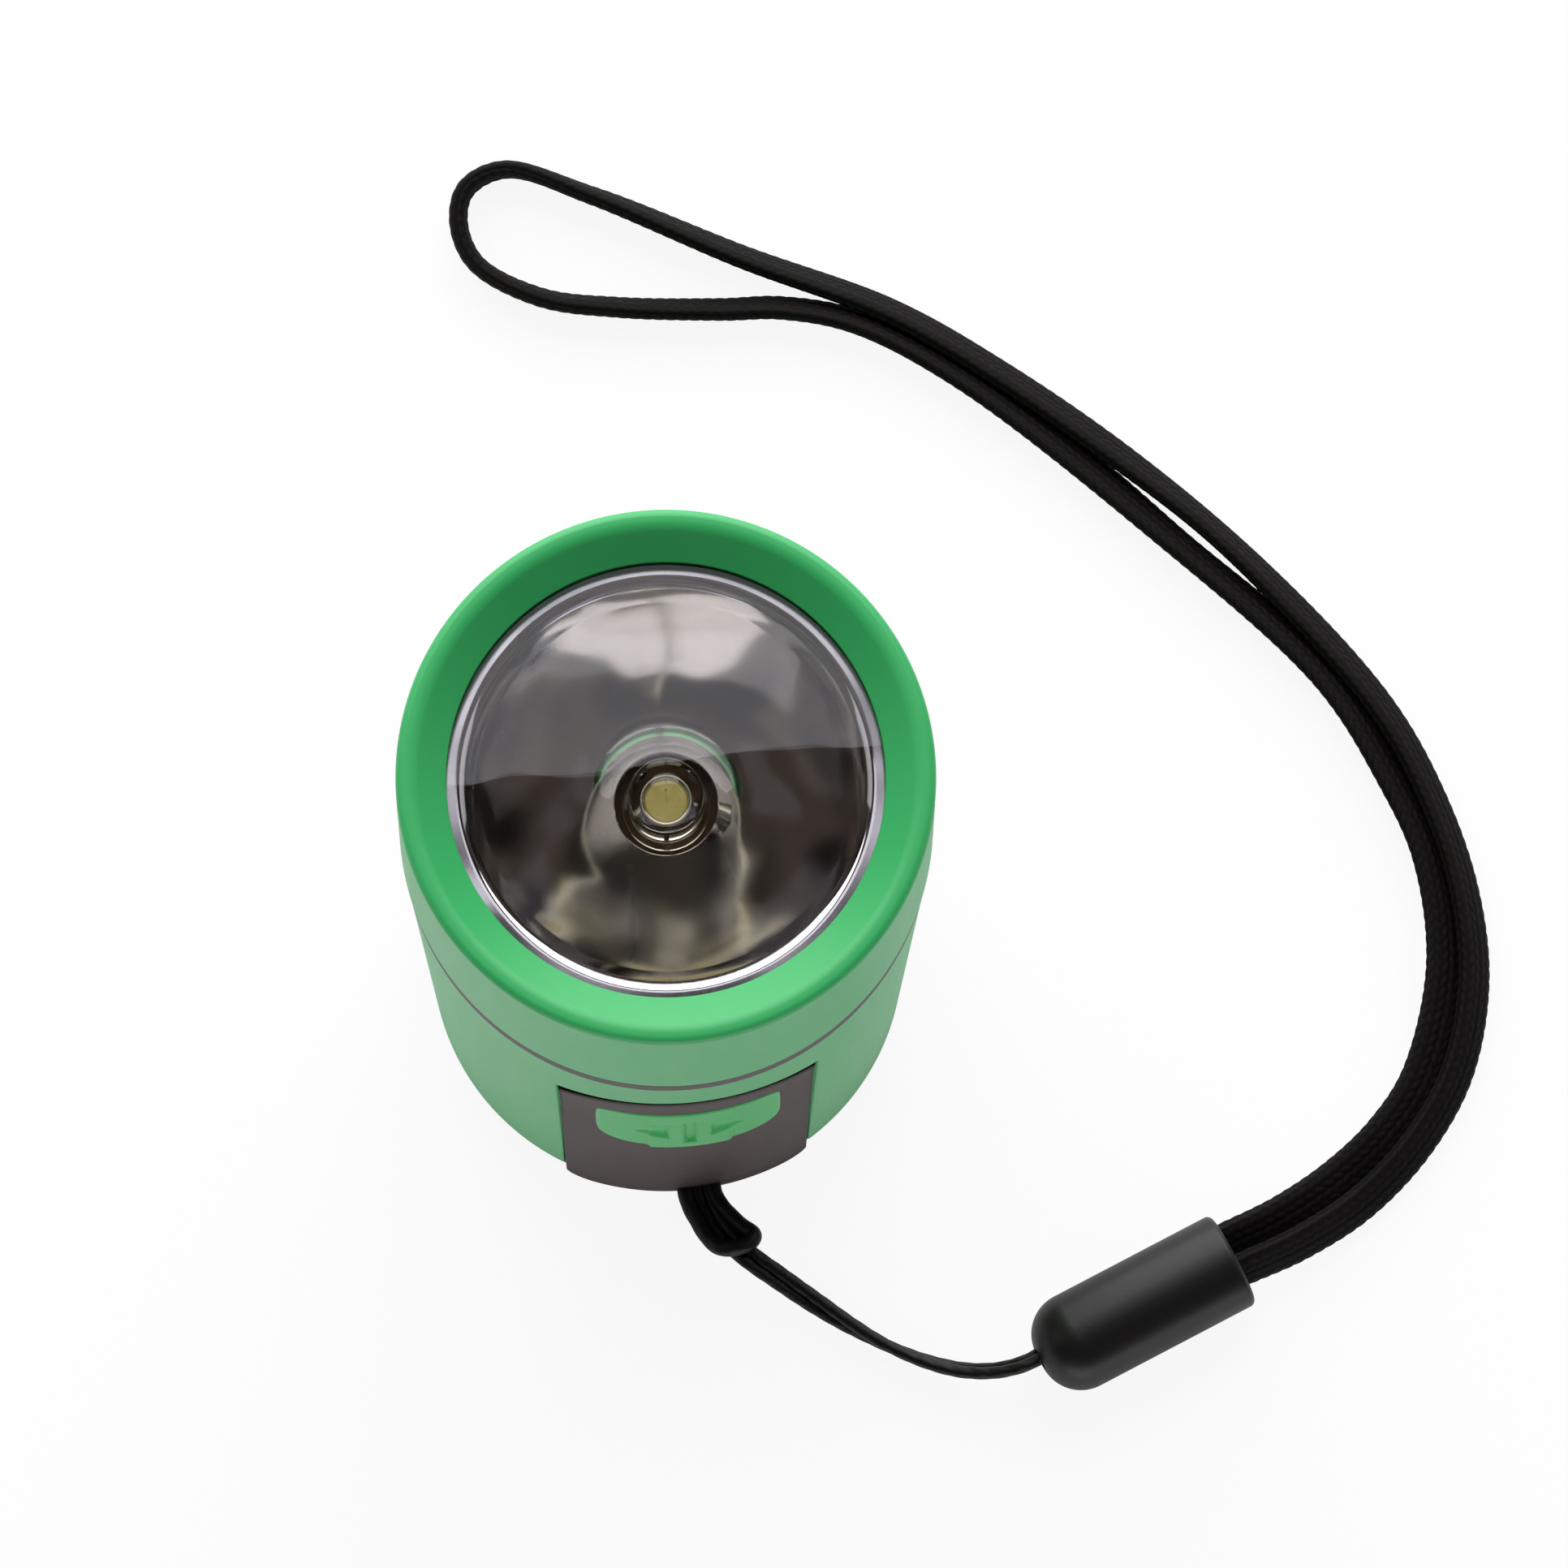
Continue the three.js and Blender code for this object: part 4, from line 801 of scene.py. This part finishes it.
# The film mirrors as clearly as the moulding under it is polished: well in the bowl, less on the flange
mirror_film, tree, shader = new_material(
    "vacuum_metallised_plastic", Base_Color=linear("#E7E5EA"), Metallic=1.0,
)
bowl_roughness, flange_roughness = 0.06, 0.14
dull_flange = add(tree, "ShaderNodeAttribute", attribute_name="flange").outputs["Fac"]
sheen = add(tree, "ShaderNodeMapRange", {
    "Value": dull_flange, "To Min": bowl_roughness, "To Max": flange_roughness,
}).outputs["Result"]
tree.links.new(sheen, shader.inputs["Roughness"])
place = add(tree, "ShaderNodeTexCoord").outputs["Object"]
ripple_size = 7
ripple = add(tree, "ShaderNodeTexNoise", {
    "Vector": place, "Scale": 1 / (ripple_size * mm), "Detail": 0, "Distortion": 0.4,
}).outputs["Fac"]
bump = add(tree, "ShaderNodeBump", {"Height": ripple, "Distance": 0.25 * mm, "Strength": 0.5})
tree.links.new(bump.outputs["Normal"], shader.inputs["Normal"])
reflector = weighted(piece(
    "metallised_reflector", points, faces, mirror_film, "torch", ["reflector"],
))
on_flange = eased_step(reflector_outline[:, 0] - flange_start, 0.3)
point_value(reflector, "flange", np.repeat(on_flange, points.shape[1]))


# Lamp: a 5 mm LED, cast in clear epoxy round its lead frame, with a dome that works as a lens and a flange
# at its foot. It stands in the reflector's hole, soldered to the lamp board.
lamp_low, lamp_high = box_mm("led_lamp")
lamp_foot = lamp_low[2]
lamp_radius = 2.5
lamp_flange = 2.9
lamp_flange_height = 1
lamp_steps = 5
lamp_shoulder = lamp_high[2] - lamp_radius
flange_top = lamp_foot + lamp_flange_height
dome = np.radians(np.linspace(90, 0, 40))
lamp_side = arc_outline(
    [(near_axis, lamp_foot), (lamp_flange, lamp_foot), (lamp_flange, flange_top),
     (lamp_radius, flange_top), (lamp_radius, lamp_shoulder)],
    [near_axis / 2, 0.15, 0.15, 0.1, 0.05], lamp_steps,
)
lamp_dome = [np.maximum(lamp_radius * np.sin(dome), near_axis), lamp_shoulder + lamp_radius * np.cos(dome)]
points, faces = turned_shell(np.concatenate([lamp_side[:-lamp_steps], np.stack(lamp_dome, 1)]), 96)

# Cast epoxy is as clear as glass, with a faint straw tint
clear_epoxy = new_material(
    "clear_epoxy", Base_Color=linear("#F6F1DC"), Roughness=0.02, IOR=1.5, Transmission_Weight=1.0,
)[0]
piece("led_dome", points, faces, clear_epoxy, "torch", ["led_lamp"])

# Phosphor: a drop of silicone full of yellow powder, which looks dry. A faint painted glow, a weak yellow
# emission, makes it look a little lit from within
phosphor, tree, shader = new_material(
    "led_phosphor", Roughness=0.6, Emission_Color=linear("#E3D27C"), Emission_Strength=0.16,
)
place = add(tree, "ShaderNodeTexCoord").outputs["Object"]
powder_size = 0.25
grit = add(tree, "ShaderNodeTexNoise", {
    "Vector": place, "Scale": 1 / (powder_size * mm), "Detail": 3,
}).outputs["Fac"]
tone = add(tree, "ShaderNodeValToRGB", {"Fac": grit})
tone.color_ramp.elements[0].color = linear("#E0D070")
tone.color_ramp.elements[1].color = linear("#F0E6A8")
tree.links.new(tone.outputs["Color"], shader.inputs["Base Color"])
fill_outline = arc_outline(
    [(near_axis, 4.33), (0.46, 4.33), (0.68, 4.88), (near_axis, 4.95)],
    [near_axis / 2, 0.05, 0.04, near_axis / 2], lamp_steps,
) + (0, lamp_foot)
points, faces = turned_shell(fill_outline, 64)
piece("led_phosphor_fill", points, faces, phosphor, "torch")


def metal(name, colour, roughness, grain, direction):
    """Bare metal with fine turning or rolling lines: noise stretched along one direction."""
    spread, relief = 0.08, 0.01
    material, tree, shader = new_material(name, Metallic=1.0, Base_Color=linear(colour))
    place = add(tree, "ShaderNodeTexCoord").outputs["Object"]
    lines = add(tree, "ShaderNodeMapping", {"Vector": place, "Scale": direction}).outputs["Vector"]
    brushed = add(tree, "ShaderNodeTexNoise", {
        "Vector": lines, "Scale": 1 / (grain * mm), "Detail": 3,
    }).outputs["Fac"]
    gloss = add(tree, "ShaderNodeMapRange", {
        "Value": brushed, "To Min": roughness - spread, "To Max": roughness + spread,
    }).outputs["Result"]
    tree.links.new(gloss, shader.inputs["Roughness"])
    bump = add(tree, "ShaderNodeBump", {"Height": brushed, "Distance": relief * mm, "Strength": 0.5})
    tree.links.new(bump.outputs["Normal"], shader.inputs["Normal"])
    return material


# Lead frame inside the epoxy: two posts stamped from silver-plated sheet, and a pressed cup on one of them.
# Silver plate is a warm white metal, bright but not a mirror. The outlines start at the lamp's foot
silvered = metal("silver_plated_lead_frame", "#C9C6C0", 0.25, 0.3, (1, 1, 0.1))
cup_outline = arc_outline(
    [(near_axis, 3.62), (0.45, 3.62), (0.86, 4.95), (0.72, 4.95), (0.5, 4.3), (near_axis, 4.3)],
    [near_axis / 2, 0.1, 0.05, 0.05, 0.1, near_axis / 2], lamp_steps,
) + (0, lamp_foot)
points, faces = turned_shell(cup_outline, 64)
piece("led_cup", points, faces, silvered, "torch")
sheet_half = 0.22  # half the sheet's thickness
post_round = 0.08
cathode_post = [(-1.5, 0.1), (-1.05, 0.1), (-1.05, 2.4), (0.5, 3.2), (0.5, 3.6), (-1.5, 3.6)]
anode_post = [(1.05, 0.1), (1.5, 0.1), (1.5, 4.4), (0.95, 4.4), (0.95, 4.1), (1.05, 3.9)]
for name, post in (("cathode", cathode_post), ("anode", anode_post)):
    outline = arc_outline(post, post_round, 4) + (0, lamp_foot)
    flat = np.stack([np.insert(outline, 1, y, 1) for y in (-sheet_half, sheet_half)])
    piece(f"led_{name}_post", flat, tube_faces(2, len(outline)), silvered, "torch")


# Switch: a green ABS thumb piece curved to the panel, with a raised grip down its middle and a bar and two
# arrows on it. A stem behind it moves the slide switch inside.
knob_low, knob_high = box_mm("switch_knob")
knob_half_width = 6.5
knob_bottom = knob_low[2]
knob_top = knob_high[2]
knob_inner = 16.75
knob_outer_top = 17.15
knob_outer = 17.95
knob_top_corner = 0.9
knob_bottom_corner = 3.2
grip_half_width = 3.1
grip_proud = 0.2
grip_side_slope = 0.35
grip_top_slope = 0.8
mark_depth = 0.3
mark_slope = 0.35
knob_edge = 0.35
knob_turns = 320
knob_rings = 90


def in_polygon(x, z, corners):
    """How far each point lies inside a convex outline whose corners run anticlockwise: the least of its
    distances to the sides."""
    corners = np.asarray(corners, float)
    nearest = np.full(np.shape(x), 1e9)
    for start, end in zip(corners, np.roll(corners, -1, 0)):
        normal = np.array([start[1] - end[1], end[0] - start[0]]) / np.hypot(*(end - start))
        nearest = np.minimum(nearest, (x - start[0]) * normal[0] + (z - start[1]) * normal[1])
    return nearest


# The same green as the shells, from a mould with a finer grain, so it hazes less at a low angle
thumb_gloss = 0.3
thumb_abs = moulded("green_abs_thumb_piece", "#2CB45A", "#2AB157", 0.36, 0.2, 0.003)
thumb_abs.node_tree.nodes["Principled BSDF"].inputs["Specular IOR Level"].default_value = thumb_gloss
knob_border = arc_outline(
    [(-knob_half_width, knob_bottom), (knob_half_width, knob_bottom), (knob_half_width, knob_top),
     (-knob_half_width, knob_top)],
    [knob_bottom_corner, knob_bottom_corner, knob_top_corner, knob_top_corner], 24,
)
knob_border = evened(np.concatenate([knob_border, knob_border[:1]]), knob_turns, closed=True)
knob_centre = np.array([0, (knob_bottom + knob_top) / 2])
spread = np.linspace(0.004, 1, knob_rings)[:, None, None]
flat = knob_centre + spread * (knob_border - knob_centre)
x, z = flat[..., 0], flat[..., 1]
border_distance = (1 - spread[..., 0]) * np.linalg.norm(knob_border - knob_centre, axis=1)
edge_share = 1 - np.clip(border_distance / knob_edge, 0, 1)
edge_drop = knob_edge * (1 - np.sqrt(1 - edge_share**2))

# The bar and the arrows: each corner's place across in millimetres, and its height as a share of the
# thumb piece's
knob_height = knob_top - knob_bottom
bar = [(-0.55, 0.14), (0.55, 0.14), (0.55, 0.74), (-0.55, 0.74)]
right_arrow = [(1.4, 0.28), (4.0, 0.46), (1.4, 0.64)]
left_arrow = [(-1.4, 0.28), (-1.4, 0.64), (-4.0, 0.46)]
marks = np.full(x.shape, -1e9)
for outline in (bar, right_arrow, left_arrow):
    corners = [(across, knob_bottom + share * knob_height) for across, share in outline]
    marks = np.maximum(marks, in_polygon(x, z, corners))
grip_top = knob_top - knob_bottom_corner
grip = eased_step(grip_half_width - np.abs(x), grip_side_slope) * eased_step(grip_top - z, grip_top_slope)
fall = (knob_top - z) / knob_height
radius = knob_outer_top + (knob_outer - knob_outer_top) * fall - edge_drop
radius = radius + grip_proud * grip * fall - mark_depth * eased_step(marks, mark_slope)
front_skin = np.stack([x, -np.sqrt(radius**2 - x**2), z], -1)
back_skin = np.stack([x, -np.sqrt(knob_inner**2 - x**2), z], -1)[::-1]
side_depth = np.linspace(0, 1, 6)[1:-1, None, None]
side_skin = front_skin[-1] + side_depth * (back_skin[0] - front_skin[-1])
knob_points = np.concatenate([front_skin, side_skin, back_skin])
piece(
    "switch_thumb_piece", knob_points, tube_faces(len(knob_points), knob_turns), thumb_abs, "switch",
    ["switch_knob"],
)


# Head: the LED's leads are soldered to a disc of brown board, held by two screws under the reflector. An
# O-ring in the neck's groove seals the bezel. Each hidden piece from here on keeps its solid's shape.
solid_edge = 0.12
node_body = {
    member: body for body, members in frame["record"]["behaviour"]["bodies"].items() for member in members
}


def dressed(material, slot, *nodes):
    """Copies of nodes' solids, their triangles merged into flats, their sides smooth and edges eased."""
    for node in nodes:
        mesh = frame["nodes"][node].data.copy()
        made = bpy.data.objects.new(f"{node}_finish", mesh)
        bpy.context.scene.collection.objects.link(made)
        shell = bmesh.new()
        shell.from_mesh(mesh)
        bmesh.ops.remove_doubles(shell, verts=shell.verts, dist=0.001 * mm)
        bmesh.ops.dissolve_limit(shell, angle_limit=np.radians(0.5), verts=shell.verts, edges=shell.edges)
        shell.to_mesh(mesh)
        shell.free()
        mesh.materials.clear()
        mesh.materials.append(material)
        mesh.polygons.foreach_set("use_smooth", np.ones(len(mesh.polygons), bool))
        mesh.set_sharp_from_angle(angle=np.radians(30))
        eased_edges(made, solid_edge, 2, 40)
        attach(made, node_body[node])
        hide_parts(node)


# Drawn steel is a cool grey with fine bright lines. Nitrile rubber is dull, and paper board mottled
steel = metal("bright_steel", "#A9ACB0", 0.3, 0.4, (1, 1, 0.1))
rubber = moulded("nitrile_rubber", "#191818", "#141313", 0.6, 0.3, 0.01)
pertinax = moulded("paper_phenolic_board", "#7C5530", "#6A4626", 0.5, 0.8, 0.01)
dressed(rubber, "seal_rubber", "head_oring")
dressed(pertinax, "lamp_board", "led_board")
dressed(steel, "steel", "anode_lead", "cathode_lead", "led_board_screw_1", "led_board_screw_2")


# Electrics: the slide switch with its carriage behind the thumb piece, the board with its parts, and three
# button cells in a holder with a sprung contact plate. Two insulated wires run up to the lamp.
# Acetal is ivory and waxy, brass a warm yellow, and the board's green lacquer glossy over its copper
acetal = moulded("white_acetal", "#E4E0D4", "#DCD8CB", 0.42, 0.5, 0.004)
brass = metal("turned_brass", "#B8964E", 0.32, 0.4, (0.1, 0.1, 1))
solder_mask = moulded("solder_mask_board", "#22683F", "#1C5C37", 0.3, 0.6, 0.006)
red_pvc = moulded("red_pvc", "#A52222", "#991D1D", 0.45, 0.4, 0.006)
black_pvc = moulded("black_pvc", "#1A1A1A", "#151515", 0.45, 0.4, 0.006)
dressed(acetal, "acetal", "switch_carriage")
dressed(steel, "steel", "switch_body", "battery_cell_1", "battery_cell_2", "battery_cell_3")
dressed(brass, "brass", "battery_contact")
dressed(satin_black, "black_plastic", "battery_holder", "capacitor", "charge_chip")
dressed(solder_mask, "main_board", "main_board")
dressed(red_pvc, "wire_red", "lamp_wire_red")
dressed(black_pvc, "wire_black", "lamp_wire_black")


# Generator and gear train: a ring magnet turns inside a coil wound on a bobbin, in a steel can, on a shaft in
# two brass bushes. The crank's ring gear drives its pinion through a compound idler on the gear plate.
# Enamelled wire is a lacquered copper red, wound in fine rings, and sintered magnet a dark, gritty grey
copper = metal("enamelled_copper_wire", "#A8602F", 0.35, 0.22, (0.02, 0.02, 1))
ferrite = moulded("sintered_magnet", "#3C3D41", "#343539", 0.55, 0.3, 0.02)
dressed(steel, "steel", "generator_can", "rotor_shaft", "idler_axle", "drive_screw")
dressed(brass, "brass", "bush_lower", "bush_upper", "rotor_pinion")
dressed(acetal, "acetal", "coil_bobbin", "drive_gear", "idler_gear")
dressed(copper, "copper_winding", "stator_coil")
dressed(ferrite, "magnet", "rotor_magnet")
dressed(grey_abs, "grey_plastic", "gear_plate")


# Crank and foot: a grey disc held in the tail by a snapped-in ring, a green arm folding flush into it, and a
# black knob on a steel rivet. The strap's lanyard pin crosses the notch.
dressed(grey_abs, "grey_plastic", "tail_ring", "crank_disc")
dressed(green_abs, "green_plastic", "crank_arm")
dressed(satin_black, "black_plastic", "crank_knob")
dressed(steel, "steel", "arm_pin", "knob_pin", "lanyard_pin")


# Studio: a white sweep under the torch, a large softbox behind and above, and weaker fills at the sides.
floor_size = 4.0
floor_mesh = bpy.data.meshes.new("floor")
half = floor_size / 2
floor_mesh.from_pydata(
    [(-half, -half, 0), (half, -half, 0), (half, half, 0), (-half, half, 0)], [], [(0, 1, 2, 3)],
)
floor = bpy.data.objects.new("floor", floor_mesh)
bpy.context.scene.collection.objects.link(floor)


def ray_kinds(tree):
    """Gives 1 for a ray that the camera sends, and 1 for one that a mirror or clear piece sends on."""
    path = add(tree, "ShaderNodeLightPath")
    sent_on = add(tree, "ShaderNodeMath", {
        0: path.outputs["Is Glossy Ray"], 1: path.outputs["Is Transmission Ray"],
    }, operation="MAXIMUM")
    return path.outputs["Is Camera Ray"], sent_on.outputs[0]


# Matt paper that takes the shadow. The camera sees it mostly as plain white, and mirrors see it dimmed
paper_shown, paper_mirrored = 0.9, 0.18
paper = bpy.data.materials.new("white_paper")
paper.use_nodes = True
tree = paper.node_tree
tree.nodes.clear()
by_camera, sent_on = ray_kinds(tree)
dimmed = add(tree, "ShaderNodeMath", {0: sent_on, 1: paper_mirrored}, operation="MULTIPLY")
seen = add(tree, "ShaderNodeMath", {0: by_camera, 1: paper_shown}, operation="MULTIPLY")
share = add(tree, "ShaderNodeMath", {0: seen.outputs[0], 1: dimmed.outputs[0]}, operation="MAXIMUM")
matt = add(tree, "ShaderNodeBsdfDiffuse", {"Color": linear("#F4F4F4")})
bright = add(tree, "ShaderNodeEmission", {"Color": (1, 1, 1, 1), "Strength": 1.0})
mixed = add(tree, "ShaderNodeMixShader", {0: share.outputs[0], 1: matt.outputs[0], 2: bright.outputs[0]})
add(tree, "ShaderNodeOutputMaterial", {"Surface": mixed.outputs[0]})
floor_mesh.materials.append(paper)


def softbox(name, place, aim, size, power, colour=(1, 1, 1)):
    """A rectangular area light at a place in metres, turned to its aim."""
    lamp_data = bpy.data.lights.new(name, "AREA")
    lamp_data.shape = "RECTANGLE"
    lamp_data.size, lamp_data.size_y = size
    lamp_data.energy = power
    lamp_data.color = colour
    light = bpy.data.objects.new(name, lamp_data)
    bpy.context.scene.collection.objects.link(light)
    direction = np.array(aim) - np.array(place)
    light.location = place
    flat_length = np.hypot(direction[0], direction[1])
    light.rotation_euler = (
        np.arctan2(flat_length, -direction[2]), 0, np.arctan2(direction[1], direction[0]) - np.pi / 2,
    )


softbox("back_softbox", (0.0, 0.95, 0.85), (0, 0, 0.08), (2.0, 1.1), 23.0)
softbox("left_softbox", (-0.9, 0.1, 0.7), (0, 0, 0.05), (0.5, 0.8), 0.6)
softbox("right_softbox", (0.9, 0.0, 0.7), (0, 0, 0.05), (0.5, 0.8), 0.6)
softbox("front_strip", (0.0, -1.0, 0.065), (0, 0, 0.04), (1.2, 0.1), 2.6)
softbox("back_strip", (0.0, 1.3, 0.2), (0, 0, 0.09), (1.6, 0.3), 6.5)
softbox("top_panel", (0.0, 0.225, 1.0), (0, 0, 0.09), (0.6, 0.19), 0.4, (0.94, 0.93, 1.0))

# The room round the torch: an even grey light, which mirrors and clear pieces see as dim, warm clutter, and
# the camera as white
ambient_strength = 0.27
clutter_strengths = (0.02, 0.17)
world = bpy.data.worlds.new("studio")
bpy.context.scene.world = world
world.use_nodes = True
tree = world.node_tree
tree.nodes.clear()
by_camera, sent_on = ray_kinds(tree)
ambient = add(tree, "ShaderNodeBackground", {"Color": (1, 1, 1, 1), "Strength": ambient_strength})
direction = add(tree, "ShaderNodeTexCoord").outputs["Generated"]
clutter = add(tree, "ShaderNodeTexNoise", {"Vector": direction, "Scale": 5, "Detail": 1}).outputs["Fac"]
dimness = add(tree, "ShaderNodeMapRange", {
    "Value": clutter, "From Min": 0.4, "From Max": 0.6,
    "To Min": clutter_strengths[0], "To Max": clutter_strengths[1],
}).outputs["Result"]
dark_room = add(tree, "ShaderNodeBackground", {"Color": linear("#B4A49C"), "Strength": dimness})
backdrop = add(tree, "ShaderNodeBackground", {"Color": (1, 1, 1, 1), "Strength": 1.0})
room = add(tree, "ShaderNodeMixShader", {0: sent_on, 1: ambient.outputs[0], 2: dark_room.outputs[0]})
sky = add(tree, "ShaderNodeMixShader", {0: by_camera, 1: room.outputs[0], 2: backdrop.outputs[0]})
add(tree, "ShaderNodeOutputWorld", {"Surface": sky.outputs[0]})
bpy.context.scene.view_settings.view_transform = "Standard"
